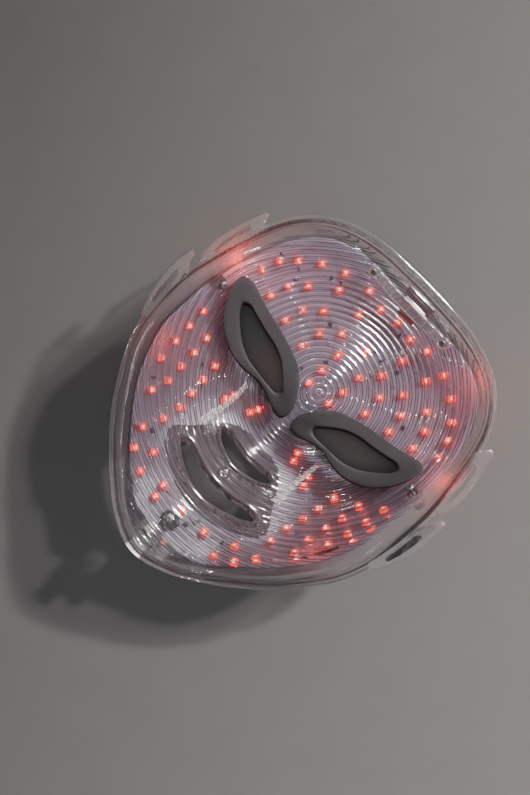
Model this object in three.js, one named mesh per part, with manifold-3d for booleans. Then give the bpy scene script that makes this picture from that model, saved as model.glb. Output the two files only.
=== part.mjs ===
// LED light-therapy face mask, in millimetres.
// The mask lies on its convex outer side with its hollow, wearer's side up (+Z).
// x = 0 is the plane of symmetry, +X is the wearer's right, +Y points to the forehead
// and -Y to the chin.
// Layers from the table up: clear outer shell, flexible LED board with its rows of
// LEDs, clear inner lens, and the two silicone eye cups.
// A "level" is a distance from the LED board's face along its normal, positive
// towards the wearer.
import * as THREE from "three";
import { mergeVertices } from "three/addons/utils/BufferGeometryUtils.js";
import Module from "manifold-3d";

// ---------------------------------------------------------------- driving dimensions
const ORIGIN_Y = 20.332; // moves the brow centre so that the bounding box is centred on y = 0
const REST_Z = 10.235; // height of the brow centre of the LED board above the table
const LEAN = 10.55; // degrees of lean on to the forehead, so that nose and forehead both rest

const SHELL_OUT = -8.0; // level of the outer shell's outer face
const SHELL_IN = -6.0; // and of its inner face
const BOARD_THICK = 0.8;
const LENS_LOW = 4.0; // level of the lens face towards the LEDs
const LENS_HIGH = 6.0; // and of its face towards the wearer
const WALL = 2.2; // thickness of the shell's rim wall
const LENS_WALL = 2.0; // thickness of the lens's rim wall
const LENS_GAP = 0.6; // between the two rim walls
const LENS_DROP = 1.0; // lens rim below the shell rim
const WALL_BULGE = 1.2; // outward bulge of the rim walls at mid height
const FAR = 120; // reach of a cutter that passes through everything

// Outlines of the mask, as radius about (0, OUTLINE_Y) for every 10 degrees from the
// forehead (0) to the chin (180), the same on both sides.
const OUTLINE_Y = -15;
const OUTLINE_STEP = 10;
const EDGE_RADIUS = [ // where the face turns up into the rim wall
  85.5, 86.2, 89.6, 93, 94, 90.5, 86, 82, 79.5, 79,
  79.5, 81.5, 83, 85, 87, 90.5, 97, 104, 108,
];
const BOARD_RADIUS = [
  84.3, 85, 88.4, 91.8, 92.8, 89.4, 85, 81, 78.5, 78,
  78.5, 80.5, 82, 84, 86, 89, 94, 99.5, 104,
];
const RIM_RADIUS = [ // top of the rim wall
  93.4, 95, 98.8, 102.3, 103, 99.4, 93.6, 89.5, 88.2, 88,
  88.6, 90.6, 92.3, 93, 95.5, 98.5, 103, 109, 113,
];
const RIM_HEIGHT = [38, 38, 38, 38, 37, 35, 35, 35, 34, 36, 35, 32, 28, 25, 21, 18, 15, 14, 14];

const SECTORS = 36; // facets round the outline
const RING_SHARES = [0.2, 0.38, 0.54, 0.68, 0.81, 0.92, 1]; // rings, as shares of the radius

// Height of the LED board's face above the brow centre, every 10 mm: one row per y from
// 100 down to -140, one column per |x| from 0 to 110.
const FACE_STEP = 10;
const FACE_TOP_Y = 100;
const FACE_HEIGHTS = [
  [42.9, 43.1, 43.8, 44.9, 46.7, 49.2, 52.5, 56.7, 61.6, 66.9, 72.5, 78.2], // y = 100
  [34.4, 34.7, 35.4, 36.6, 38.5, 41.4, 45.3, 50.1, 55.8, 61.9, 68.2, 74.5], // y = 90
  [25.1, 25.3, 26.2, 27.6, 29.8, 33.0, 37.7, 43.5, 50.1, 57.1, 64.1, 71.0], // y = 80
  [15.5, 15.8, 16.8, 18.4, 20.9, 24.5, 30.1, 37.1, 44.8, 52.8, 60.6, 68.1], // y = 70
  [9.3, 9.8, 11.0, 12.8, 15.3, 18.4, 23.5, 31.2, 40.2, 49.1, 57.6, 65.6], // y = 60
  [6.6, 7.1, 8.4, 10.4, 12.9, 15.5, 19.4, 26.7, 36.5, 46.2, 55.3, 63.7], // y = 50
  [5.3, 5.7, 6.9, 8.8, 11.0, 13.3, 16.4, 23.2, 33.5, 44.1, 53.6, 62.3], // y = 40
  [4.3, 4.6, 5.7, 7.3, 9.4, 11.4, 13.8, 20.2, 31.5, 42.6, 52.5, 61.4], // y = 30
  [3.1, 3.5, 4.4, 5.9, 7.9, 10.0, 12.4, 18.2, 30.2, 41.8, 51.9, 60.9], // y = 20
  [1.7, 2.1, 3.1, 4.5, 6.4, 8.8, 12.4, 19.5, 30.8, 41.9, 51.9, 60.8], // y = 10
  [0.0, 0.6, 1.8, 3.1, 4.8, 7.6, 12.5, 20.6, 31.7, 42.4, 52.1, 60.9], // y = 0
  [-2.2, -1.5, -0.0, 1.3, 3.3, 6.6, 12.4, 20.9, 32.2, 42.9, 52.5, 61.2], // y = -10
  [-5.7, -5.0, -3.3, -1.1, 1.6, 5.7, 11.9, 20.7, 32.7, 43.7, 53.2, 61.8], // y = -20
  [-8.9, -8.2, -6.4, -3.5, -0.4, 4.1, 11.3, 21.7, 34.3, 44.9, 54.2, 62.4], // y = -30
  [-9.0, -7.9, -5.9, -3.9, -1.6, 3.2, 11.9, 23.8, 36.0, 46.3, 55.2, 63.2], // y = -40
  [-5.7, -4.6, -3.0, -2.4, -1.6, 3.4, 13.1, 25.1, 37.7, 47.8, 56.3, 63.7], // y = -50
  [-2.2, -1.6, -0.6, -0.9, -0.7, 5.3, 16.3, 28.3, 39.7, 49.1, 56.9, 64.0], // y = -60
  [-1.0, -0.7, 0.1, 0.5, 1.6, 9.4, 21.2, 31.3, 40.3, 49.1, 56.7, 63.7], // y = -70
  [-0.7, -0.4, 0.2, 1.8, 5.9, 15.1, 25.3, 32.5, 39.9, 48.4, 56.1, 63.2], // y = -80
  [0.6, 1.0, 1.5, 3.3, 10.6, 20.2, 28.0, 34.2, 40.9, 48.4, 55.8, 62.7], // y = -90
  [1.9, 2.4, 3.0, 4.7, 13.6, 23.1, 30.1, 36.1, 42.4, 49.1, 55.9, 62.4], // y = -100
  [2.9, 3.7, 5.6, 9.8, 17.1, 25.1, 32.0, 37.9, 43.9, 50.0, 56.2, 62.3], // y = -110
  [5.4, 6.7, 9.6, 14.3, 20.6, 27.2, 33.6, 39.4, 45.1, 50.9, 56.7, 62.4], // y = -120
  [10.0, 11.1, 14.1, 18.3, 23.7, 29.4, 35.2, 40.8, 46.3, 51.7, 57.2, 62.6], // y = -130
  [14.9, 15.8, 18.3, 22.0, 26.6, 31.7, 36.9, 42.2, 47.4, 52.6, 57.7, 62.9], // y = -140
];

// Openings as closed outlines of [x, y]; the eye's are for the right-hand side.
const EYE_CUP = [
  [70.5, 9], [66, 13.2], [60, 13], [52, 10.8], [42, 8.8], [32, 6.6], [23, 3.2], [16, -1],
  [10.5, -7], [6.5, -13], [3.4, -20], [3.2, -25.5], [6, -28], [13, -27.4], [24, -26.6],
  [35, -25.8], [44, -24.2], [53, -20.5], [60.5, -14.6], [66, -7.5], [70, 0.5], [71.3, 5.5],
];
const EYE_HOLE = [
  [60, -1.5], [57, 1], [51, 0.4], [42, -1], [33, -2.2], [25.5, -5], [18.5, -10],
  [13.2, -15.6], [15, -17.2], [21, -16.4], [30, -15.8], [38, -15.4], [46, -13.2],
  [53, -9.8], [58, -5.6],
];
const MOUTH = [
  [-30, -71.6], [-24, -70.4], [-16, -72.2], [-8, -74], [0, -74.8], [8, -74], [16, -72.2],
  [24, -70.4], [30, -71.6], [27.4, -74.6], [21.5, -78], [15, -80.8], [8, -83], [0, -83.8],
  [-8, -83], [-15, -80.8], [-21.5, -78], [-27.4, -74.6],
];
const NOSTRILS = [
  [-20, -51.4], [-15.5, -49.8], [-8, -50.8], [0, -51.4], [8, -50.8], [15.5, -49.8],
  [20, -51.4], [17.6, -54.6], [12.5, -57.4], [6.5, -59.4], [0, -60.2], [-6.5, -59.4],
  [-12.5, -57.4], [-17.6, -54.6],
];
const NOSE_CUTOUT = [
  [0, -41], [11, -41.5], [20, -46], [27, -55], [32, -62.5], [38.5, -70.5], [37, -76],
  [30, -82], [21, -87], [11, -90], [0, -91.2], [-11, -90], [-21, -87], [-30, -82],
  [-37, -76], [-38.5, -70.5], [-32, -62.5], [-27, -55], [-20, -46], [-11, -41.5],
];

// Screws
const SHANK_RADIUS = 1.3;
const SHANK_LONG = 8; // of the screws set square to the face
const SHANK_SIDES = 10;
const BORE_RADIUS = 1.8;
const HEAD_HIGH = 1.8;
const HEAD_TAPER = 0.8; // top radius of a head as a share of its radius
const MIDLINE_SCREWS = [
  { name: "chin_screw", x: 0, y: -104.7, postRadius: 4.2, headRadius: 3.4 },
  { name: "centre_screw", x: 0, y: -66.6, postRadius: 3.2, headRadius: 2.5 },
];
const TEMPLE_POST_RADIUS = 3.2;
const TEMPLE_HEAD_RADIUS = 2.5;
const TEMPLE_SCREWS = [
  { name: "temple_screw_right", x: 76.2, y: -5.2 },
  { name: "temple_screw_left", x: -76.2, y: -5.2 },
];

// Bar of the forehead clip, along the brow of the lens
const CLIP = { reach: 31.4, y: 68.9, half: 2.1, low: 6.8, high: 10.2, steps: 8 };
const clipY = (x) => CLIP.y - (x * x) / 1500;
const CLIP_SCREWS = [["clip_screw_left", -28.2], ["clip_screw_right", 28.2]]
  .map(([name, x]) => ({ name, x, y: clipY(x) }));

// Charging port and power button, at the chin
const PORT = { wide: 9.0, high: 3.2, back: -118.4, mouth: -127.2, z: 6.6 };
const BUTTON = { x: 10.5, y: -118.4, radius: 3.2, hole: 3.9, sides: 18 };

// ---------------------------------------------------------------- face surface
const rad = (deg) => (deg * Math.PI) / 180;
const clamp = THREE.MathUtils.clamp;

// Catmull-Rom value between start and end.
function cubic(before, start, end, after, share) {
  const third = 3 * (start - end) + after - before;
  const second = 2 * before - 5 * start + 4 * end - after + share * third;
  return start + 0.5 * share * (end - before + share * second);
}
function faceZ(x, y) {
  const lastRow = FACE_HEIGHTS.length - 1;
  const lastColumn = FACE_HEIGHTS[0].length - 1;
  const across = Math.min(Math.abs(x) / FACE_STEP, lastColumn - 0.01);
  const down = clamp((FACE_TOP_Y - y) / FACE_STEP, 0, lastRow - 0.01);
  const column = Math.floor(across);
  const row = Math.floor(down);
  const heights = [-1, 0, 1, 2].map((k) => {
    const line = FACE_HEIGHTS[clamp(row + k, 0, lastRow)];
    const at = (i) => line[Math.min(Math.abs(i), lastColumn)];
    const near = [at(column - 1), at(column), at(column + 1), at(column + 2)];
    return cubic(...near, across - column);
  });
  return cubic(...heights, down - row);
}
function faceNormal(x, y) {
  const reach = 1.5;
  return new THREE.Vector3(
    faceZ(x - reach, y) - faceZ(x + reach, y),
    faceZ(x, y - reach) - faceZ(x, y + reach),
    2 * reach,
  ).normalize();
}
// The point at a level, on the face normal that starts at (x, y).
function layerPoint(x, y, level) {
  return new THREE.Vector3(x, y, faceZ(x, y)).addScaledVector(faceNormal(x, y), level);
}
// Height of a level straight above (x, y), found by relaxation.
function layerZ(x, y, level) {
  let footX = x;
  let footY = y;
  let point;
  for (let k = 0; k < 12; k++) {
    point = layerPoint(footX, footY, level);
    footX -= 0.8 * (point.x - x);
    footY -= 0.8 * (point.y - y);
  }
  return point.z;
}
// Value of an outline table at an angle.
function atAngle(list, deg) {
  const last = list.length - 1;
  const place = Math.abs(((deg + 540) % 360) - 180) / OUTLINE_STEP;
  const i = Math.min(Math.floor(place), last - 1);
  const at = (k) => list[k < 0 ? -k : k > last ? 2 * last - k : k];
  return cubic(at(i - 1), at(i), at(i + 1), at(i + 2), place - i);
}
function outlinePoint(radii, deg, inset = 0) {
  const radius = atAngle(radii, deg) - inset;
  return [radius * Math.sin(rad(deg)), OUTLINE_Y + radius * Math.cos(rad(deg))];
}

// ---------------------------------------------------------------- solids
const wasm = await Module();
wasm.setup();

// Closed geometry to Manifold solid, turned outside out where it is wound inwards.
function solid(geometry) {
  geometry.deleteAttribute("normal");
  geometry.deleteAttribute("uv");
  const merged = mergeVertices(geometry, 1e-4);
  const vertProperties = merged.attributes.position.array;
  const make = (triVerts) =>
    new wasm.Manifold(new wasm.Mesh({ numProp: 3, vertProperties, triVerts }));
  const corners = new Uint32Array(merged.index.array);
  const body = make(corners);
  if (body.volume() >= 0) return body;
  for (let i = 0; i < corners.length; i += 3) {
    [corners[i + 1], corners[i + 2]] = [corners[i + 2], corners[i + 1]];
  }
  return make(corners);
}
function geometryOf(body) {
  const mesh = body.getMesh();
  const geometry = new THREE.BufferGeometry();
  geometry.setAttribute("position", new THREE.BufferAttribute(mesh.vertProperties.slice(), 3));
  geometry.setIndex(Array.from(mesh.triVerts));
  geometry.computeVertexNormals();
  return geometry;
}
// Skins equal-length rings of Vector3, one to the next. With poles [first, last] the ends
// are closed by fans to them; without, the last ring joins the first.
function skin(rings, poles = null) {
  const count = rings[0].length;
  const points = rings.flat();
  const index = [];
  const rows = poles ? rings.length - 1 : rings.length;
  for (let row = 0; row < rows; row++) {
    const here = row * count;
    const there = ((row + 1) % rings.length) * count;
    for (let i = 0; i < count; i++) {
      const j = (i + 1) % count;
      index.push(here + i, here + j, there + j, here + i, there + j, there + i);
    }
  }
  if (poles) {
    const lastRing = rows * count;
    const first = points.length;
    points.push(...poles);
    for (let i = 0; i < count; i++) {
      const j = (i + 1) % count;
      index.push(first, j, i, first + 1, lastRing + i, lastRing + j);
    }
  }
  const position = points.flatMap((p) => [p.x, p.y, p.z]);
  const geometry = new THREE.BufferGeometry();
  geometry.setAttribute("position", new THREE.Float32BufferAttribute(position, 3));
  geometry.setIndex(index);
  return solid(geometry);
}
function bar(rings) {
  const centre = (ring) =>
    ring.reduce((sum, p) => sum.add(p), new THREE.Vector3()).multiplyScalar(1 / ring.length);
  return skin(rings, [centre(rings[0]), centre(rings[rings.length - 1])]);
}
const placed = (geometry, matrix) => solid(geometry.applyMatrix4(matrix));
const box = (size, centre) => solid(new THREE.BoxGeometry(...size).translate(...centre));
// Cylinder geometry along z, about the origin.
const cylinder = (radius, high, sides = 14, topRadius = radius) =>
  new THREE.CylinderGeometry(topRadius, radius, high, sides).rotateX(Math.PI / 2);
// A cylinder standing along z from low to high.
const post = (radius, x, y, low, high, sides, topRadius) =>
  solid(cylinder(radius, high - low, sides, topRadius).translate(x, y, (low + high) / 2));
const mirror = (body) => placed(geometryOf(body), new THREE.Matrix4().makeScale(-1, 1, 1));

// Places a geometry with its z along the face normal at (x, y) and its origin at a level.
function onFace(geometry, x, y, level) {
  const normal = faceNormal(x, y);
  const side = new THREE.Vector3(0, 1, 0).cross(normal).normalize();
  const up = new THREE.Vector3().crossVectors(normal, side);
  const matrix = new THREE.Matrix4().makeBasis(side, up, normal);
  return placed(geometry, matrix.setPosition(layerPoint(x, y, level)));
}
const bore = (x, y, long, level) =>
  onFace(cylinder(BORE_RADIUS, long, SHANK_SIDES), x, y, level);

// ---------------------------------------------------------------- outlines
// A closed outline resampled to count points on a smooth curve from its first point,
// counter-clockwise.
function smoothLoop(outline, count) {
  const corners = outline.map(([x, y]) => new THREE.Vector3(x, y, 0));
  const curve = new THREE.CatmullRomCurve3(corners, true, "centripetal");
  const list = curve.getSpacedPoints(count).slice(0, count).map((p) => [p.x, p.y]);
  let area = 0;
  list.forEach(([x, y], i) => {
    const next = list[(i + 1) % count];
    area += x * next[1] - next[0] * y;
  });
  return area > 0 ? list : [list[0], ...list.slice(1).reverse()];
}
// The loop moved outward.
function grow(list, distance) {
  const count = list.length;
  return list.map(([x, y], i) => {
    const before = list[(i + count - 1) % count];
    const after = list[(i + 1) % count];
    const dx = after[0] - before[0];
    const dy = after[1] - before[1];
    const long = Math.hypot(dx, dy) || 1;
    return [x + (dy / long) * distance, y - (dx / long) * distance];
  });
}
const flip = (list) => list.map(([x, y]) => [-x, y]);
// The loop raised to a level of the face, and a further rise along z.
const lift = (list, level, rise = 0) =>
  list.map(([x, y]) => new THREE.Vector3(x, y, layerZ(x, y, level) + rise));
function prism(list, low, high) {
  const shape = new THREE.Shape(list.map(([x, y]) => new THREE.Vector2(x, y)));
  const options = { depth: high - low, bevelEnabled: false };
  return solid(new THREE.ExtrudeGeometry(shape, options).translate(0, 0, low));
}
const pierce = (body, lists) =>
  lists.reduce((rest, list) => rest.subtract(prism(list, -FAR, FAR)), body);

const eyeHole = smoothLoop(EYE_HOLE, 24);
const eyeCup = smoothLoop(EYE_CUP, 24);
const mouth = smoothLoop(MOUTH, 26);
const nostrils = smoothLoop(NOSTRILS, 22);
const noseCutout = smoothLoop(NOSE_CUTOUT, 24);

function eyeOpenings(gap) {
  const right = grow(eyeHole, gap);
  return [right, flip(right).reverse()];
}
const faceOpenings = (eyeGap, lipGap) =>
  [...eyeOpenings(eyeGap), grow(mouth, lipGap), grow(nostrils, lipGap)];

// ---------------------------------------------------------------- layers of the mask
const ANGLES = Array.from({ length: SECTORS }, (_, i) => (i * 360) / SECTORS);

// Rings of one level, from the pole out to an outline.
const disc = (radii, level) =>
  RING_SHARES.map((share) => ANGLES.map((angle) => {
    const [x, y] = outlinePoint(radii, angle);
    return layerPoint(x * share, OUTLINE_Y + (y - OUTLINE_Y) * share, level);
  }));
// The face surface between two levels, with further rings round its edge.
function sheet(radii, low, high, edgeRings = []) {
  const rings = [...disc(radii, low), ...edgeRings, ...disc(radii, high).reverse()];
  return skin(rings, [layerPoint(0, OUTLINE_Y, low), layerPoint(0, OUTLINE_Y, high)]);
}
// Ring on the rim wall, at a share of the way from the face's edge up to the rim.
const wallRing = (level, inset, drop, share) =>
  ANGLES.map((angle) => {
    const edge = layerPoint(...outlinePoint(EDGE_RADIUS, angle), level);
    const [x, y] = outlinePoint(RIM_RADIUS, angle, inset);
    const rim = new THREE.Vector3(x, y, atAngle(RIM_HEIGHT, angle) - drop);
    const bulge = 4 * share * (1 - share) * WALL_BULGE;
    const push = [Math.sin(rad(angle)) * bulge, Math.cos(rad(angle)) * bulge, -bulge * 0.4];
    return edge.lerp(rim, share).add(new THREE.Vector3(...push));
  });
// A sheet turned up into a rim wall.
function tray({ low, high, lowInset, highInset, drop }) {
  return sheet(EDGE_RADIUS, low, high, [
    wallRing(low, lowInset, drop, 0.5),
    wallRing(low, lowInset, drop, 1),
    wallRing(high, highInset, drop, 1),
    wallRing(high, highInset, drop, 0.5),
  ]);
}

// ---------------------------------------------------------------- outer shell
// Small raised flats under nose and forehead that the mask rests on, in the table's frame.
const PAD_STEP = 0.2; // height of the flats over the shell around them
const PADS = [
  { half: 7.5, yRange: [-15, -8.4] }, // nose
  { half: 3.8, yRange: [69.3, 75.2] }, // forehead
];
function cutRestingFlats(shell) {
  const onTable = new THREE.Matrix4()
    .makeRotationX(-rad(LEAN))
    .setPosition(0, ORIGIN_Y, REST_Z)
    .invert();
  const slab = ([x0, x1], [y0, y1], [z0, z1]) => {
    const block = new THREE.BoxGeometry(x1 - x0, y1 - y0, z1 - z0);
    return placed(block.translate((x0 + x1) / 2, (y0 + y1) / 2, (z0 + z1) / 2), onTable);
  };
  const wide = [-150, 150];
  let aroundPads = slab(wide, wide, [-20, PAD_STEP]);
  for (const { half, yRange } of PADS) {
    aroundPads = aroundPads.subtract(slab([-half, half], yRange, [-30, 10]));
  }
  return shell.subtract(aroundPads).subtract(slab(wide, wide, [-20, 0]));
}

// Strap hooks of the right-hand side: outline and slot as [x, y], and the [y, z] of two
// stations that set the slope of the plate.
const HOOK_THICK = 3.0;
const HOOKS = [
  {
    outline: [
      [81.6, 22], [85.2, 8], [86.4, -2], [90.4, -3.4], [92.6, 0], [93, 11], [90.2, 25],
      [86.4, 37.2], [83.6, 37.4], [82, 33], [79.6, 31.4],
    ],
    slot: [[84.3, 26.5], [87, 16], [88, 4], [90, 3.4], [90.3, 10], [89.3, 17], [86.6, 27.2]],
    slope: [[-3, 32.2], [38, 37.6]],
  },
  {
    outline: [
      [84.4, -46], [88.6, -47.4], [93.4, -37], [96.8, -24], [97, -13], [96, -5.2],
      [93.6, -5.4], [91, -12.4], [86.6, -15], [86.4, -30]],
    slot: [
      [88.6, -38.6], [89.9, -28], [90.4, -19.4], [92.9, -16.8], [93.8, -22], [92.6, -31.6],
      [90.8, -38.4],
    ],
    slope: [[-46, 30.2], [-5, 37.8]],
  },
];
function strapHook({ outline, slot, slope: [[y0, z0], [y1, z1]] }) {
  const plate = prism(outline, -HOOK_THICK / 2, HOOK_THICK / 2).subtract(prism(slot, -5, 5));
  const geometry = geometryOf(plate);
  const position = geometry.attributes.position;
  for (let i = 0; i < position.count; i++) {
    const rise = ((z1 - z0) * (position.getY(i) - y0)) / (y1 - y0);
    position.setZ(i, position.getZ(i) + z0 + rise);
  }
  return solid(geometry);
}

const MIDLINE_POST = { lift: 0.9, lensGap: 1.7, floor: 2 }; // floor: solid foot below the bore
const TEMPLE_POST = { long: 10.2, level: -2.0, boreLong: 12, boreLevel: 1.4 };
const PORT_CUT = { gap: 0.8, long: 12, y: -126 };

function outerShell() {
  const walls = { lowInset: 0, highInset: WALL, drop: 0 };
  let shell = cutRestingFlats(tray({ low: SHELL_OUT, high: SHELL_IN, ...walls }));
  for (const spec of HOOKS) {
    const hook = strapHook(spec);
    shell = shell.add(hook).add(mirror(hook));
  }
  for (const { x, y, postRadius } of MIDLINE_SCREWS) {
    const base = layerZ(x, y, SHELL_OUT) + MIDLINE_POST.lift;
    const top = layerZ(x, y, LENS_LOW) - MIDLINE_POST.lensGap;
    const hole = post(BORE_RADIUS, x, y, base + MIDLINE_POST.floor, top + 6, SHANK_SIDES);
    shell = shell.add(post(postRadius, x, y, base, top)).subtract(hole);
  }
  for (const { x, y } of TEMPLE_SCREWS) {
    const { long, level, boreLong, boreLevel } = TEMPLE_POST;
    shell = shell.add(onFace(cylinder(TEMPLE_POST_RADIUS, long), x, y, level));
    shell = shell.subtract(bore(x, y, boreLong, boreLevel));
  }
  shell = pierce(shell, faceOpenings(0.8, 0.2));
  const portCut = [PORT.wide + PORT_CUT.gap, PORT_CUT.long, PORT.high + PORT_CUT.gap];
  return shell
    .subtract(box(portCut, [0, PORT_CUT.y, PORT.z]))
    .subtract(post(BUTTON.hole, BUTTON.x, BUTTON.y, -FAR, 1.9, BUTTON.sides));
}

// ---------------------------------------------------------------- inner lens
// Lips round the openings, [loop, width, low level, high level]: for each opening a broad
// lip on the lens, then a narrow skirt down towards the shell.
const COLLARS = [
  [mouth, 3.6, LENS_LOW - 0.6, LENS_HIGH + 1.8],
  [mouth, 1.8, SHELL_IN + 2.3, LENS_HIGH],
  [nostrils, 2.4, LENS_LOW - 0.6, LENS_HIGH + 1.2],
  [nostrils, 1.6, SHELL_IN + 2.3, LENS_HIGH],
];
function collar(inner, wide, low, high) {
  const outer = grow(inner, wide);
  const shoulder = high - 0.6;
  return skin([
    lift(outer, low),
    lift(outer, shoulder),
    lift(grow(inner, wide * 0.5), high),
    lift(inner, shoulder),
    lift(inner, low),
  ]);
}
function innerLens() {
  const lowInset = WALL + LENS_GAP;
  const walls = { lowInset, highInset: lowInset + LENS_WALL, drop: LENS_DROP };
  let lens = pierce(tray({ low: LENS_LOW, high: LENS_HIGH, ...walls }), faceOpenings(2.6, 1));
  for (const spec of COLLARS) lens = lens.add(collar(...spec));
  for (const { x, y } of MIDLINE_SCREWS) {
    lens = lens.subtract(post(BORE_RADIUS, x, y, -FAR, FAR, SHANK_SIDES));
  }
  for (const { x, y } of TEMPLE_SCREWS) lens = lens.subtract(bore(x, y, 10, LENS_HIGH));
  for (const { x, y } of CLIP_SCREWS) lens = lens.subtract(bore(x, y, 8, LENS_HIGH));
  return lens;
}

// ---------------------------------------------------------------- flexible LED board
const BOARD_POST_GAP = 1.2; // round the screw posts
const CHIN_NOTCH = { size: [36, 24, FAR], centre: [2, -124.6, 0] };

function ledBoard() {
  const face = sheet(BOARD_RADIUS, -BOARD_THICK, 0);
  let board = pierce(face, [...eyeOpenings(4.2), noseCutout]);
  for (const { x, y, postRadius } of MIDLINE_SCREWS) {
    board = board.subtract(post(postRadius + BOARD_POST_GAP, x, y, -FAR, FAR));
  }
  for (const { x, y } of TEMPLE_SCREWS) {
    board = board.subtract(onFace(cylinder(TEMPLE_POST_RADIUS + BOARD_POST_GAP, 12), x, y, 0));
  }
  return board.subtract(box(CHIN_NOTCH.size, CHIN_NOTCH.centre));
}

// ---------------------------------------------------------------- LED rows
const LED_SIZE = [3.5, 2.8, 1.6];
const LED_SINK = 0.05; // LED underside below the ribbon's
const RIBBON = { level: 1.3, wide: 1.6, thick: 0.3, step: 11, overhang: 1.2 };

// LED centres as [x, y]. Arcs run on across the midline, mirrored.
const LED_ARCS = {
  centre: [[8.5, 10], [7.9, 0.6]],
  glabella: [[8.4, 21.7], [24.2, 22.1], [25.4, 10.7]],
  forehead_inner: [[0, 34.4], [16.1, 31.2], [31.8, 31.7], [39.5, 23.4], [41.5, 12.8]],
  forehead_middle: [[17.7, 44.7], [34.7, 45.3], [47.1, 34], [54.1, 25.9], [56.8, 14.9]],
  forehead_outer: [
    [0, 57.7], [11.8, 55.6], [23, 57.6], [39, 53.8], [51, 47.4], [60.8, 38.6], [67, 30],
    [69.9, 19.4],
  ],
  chin: [[0, -96.1], [16.5, -95.2], [33.8, -88.2], [46.5, -84.9]],
};
// Rows of the right-hand side, repeated mirrored on the left.
const LED_ROWS = {
  cheek_outer: [[71.7, -20.6], [70.3, -31.4], [68.8, -42.2], [66.5, -53.7]],
  cheek_middle: [[61.6, -27.2], [60.3, -37.4], [58.8, -47.2], [57.1, -58], [57.9, -68.6]],
  cheek_inner: [[48.9, -32.2], [47.5, -42], [45.8, -51.4], [44, -61.6], [44.2, -72.6]],
  nose: [[16.3, -28.6], [18.2, -33.6], [30.5, -34.2], [32, -39.2]],
  jaw: [[30.4, -99.8], [41, -94.6]],
};
const JAW_EXTRA = [14.6, -102.2]; // one more LED, on the left-hand jaw row only

// The whole arc from the far left to the far right.
const acrossMidline = (list) =>
  [...flip(list).reverse(), ...(list[0][0] === 0 ? list.slice(1) : list)];

function ribbonPath(points) {
  const path = [];
  for (let i = 0; i + 1 < points.length; i++) {
    const [ax, ay] = points[i];
    const [bx, by] = points[i + 1];
    const steps = Math.max(1, Math.round(Math.hypot(bx - ax, by - ay) / RIBBON.step));
    for (let k = 0; k < steps; k++) {
      path.push([ax + ((bx - ax) * k) / steps, ay + ((by - ay) * k) / steps]);
    }
  }
  path.push(points[points.length - 1]);
  return path;
}
function ribbon(points) {
  const path = ribbonPath(points);
  const last = path.length - 1;
  return bar(path.map(([x, y], i) => {
    const [ax, ay] = path[Math.max(i - 1, 0)];
    const [bx, by] = path[Math.min(i + 1, last)];
    const along = new THREE.Vector3(bx - ax, by - ay, faceZ(bx, by) - faceZ(ax, ay)).normalize();
    const normal = faceNormal(x, y);
    const side = new THREE.Vector3().crossVectors(normal, along).normalize();
    const foot = layerPoint(x, y, RIBBON.level);
    if (i === 0) foot.addScaledVector(along, -RIBBON.overhang);
    if (i === last) foot.addScaledVector(along, RIBBON.overhang);
    return [[-1, 0], [1, 0], [1, 1], [-1, 1]].map(([sideways, up]) =>
      foot.clone()
        .addScaledVector(side, (sideways * RIBBON.wide) / 2)
        .addScaledVector(normal, up * RIBBON.thick));
  }));
}
// LEDs joined by one thin ribbon.
function ledRow(points) {
  const level = RIBBON.level - LED_SINK + LED_SIZE[2] / 2;
  return points.reduce(
    (row, [x, y]) => row.add(onFace(new THREE.BoxGeometry(...LED_SIZE), x, y, level)),
    ribbon(points),
  );
}

// ---------------------------------------------------------------- silicone eye cup
// Rim section as [share of the way from the cup's outline to the eye hole, rise over the lens].
const CUP_RIM = [[0, 0.9], [0, 4.2], [0.14, 6.6], [0.4, 7.4], [0.72, 6.4], [0.94, 4.2]];
const CUP_NECK = { wall: 1.7, top: 2.0, foot: 0.9, bottomLevel: -4.2 };

// The inner loop, restarted where its points lie nearest to the outer loop's.
function matchLoop(outer, inner) {
  const count = outer.length;
  let best = 0;
  let bestSum = Infinity;
  for (let start = 0; start < count; start++) {
    const sum = outer.reduce((total, [x, y], i) => {
      const other = inner[(i + start) % count];
      return total + Math.hypot(x - other[0], y - other[1]);
    }, 0);
    if (sum < bestSum) {
      bestSum = sum;
      best = start;
    }
  }
  return outer.map((_, i) => inner[(i + best) % count]);
}
// Rounded almond rim over the lens, with a neck down through the eye hole.
function eyeCupSolid() {
  const neck = matchLoop(eyeCup, eyeHole);
  const neckOut = grow(neck, CUP_NECK.wall);
  const blend = (share) => eyeCup.map(([x, y], i) => [
    x * (1 - share) + neck[i][0] * share,
    y * (1 - share) + neck[i][1] * share,
  ]);
  return skin([
    ...CUP_RIM.map(([share, rise]) => lift(blend(share), LENS_HIGH, rise)),
    lift(neck, LENS_HIGH, CUP_NECK.top),
    lift(neck, CUP_NECK.bottomLevel),
    lift(neckOut, CUP_NECK.bottomLevel),
    lift(neckOut, LENS_HIGH, CUP_NECK.foot),
  ]);
}

// ---------------------------------------------------------------- forehead clip
const CLIP_BOSS = { radius: 3.3, high: 3.6, level: CLIP.low + 2.4 };

function clipBar() {
  const { reach, half, low, high, steps } = CLIP;
  const rings = [];
  for (let k = 0; k <= steps; k++) {
    const x = -reach + (2 * reach * k) / steps;
    const y = clipY(x);
    const section = [[-half, low], [half, low], [half, high], [-half, high]];
    rings.push(section.map(([dy, level]) => layerPoint(x, y + dy, level)));
  }
  let body = bar(rings);
  for (const { x, y } of CLIP_SCREWS) {
    body = body.add(onFace(cylinder(CLIP_BOSS.radius, CLIP_BOSS.high), x, y, CLIP_BOSS.level));
    body = body.subtract(bore(x, y, 30, low));
  }
  return body;
}

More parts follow.
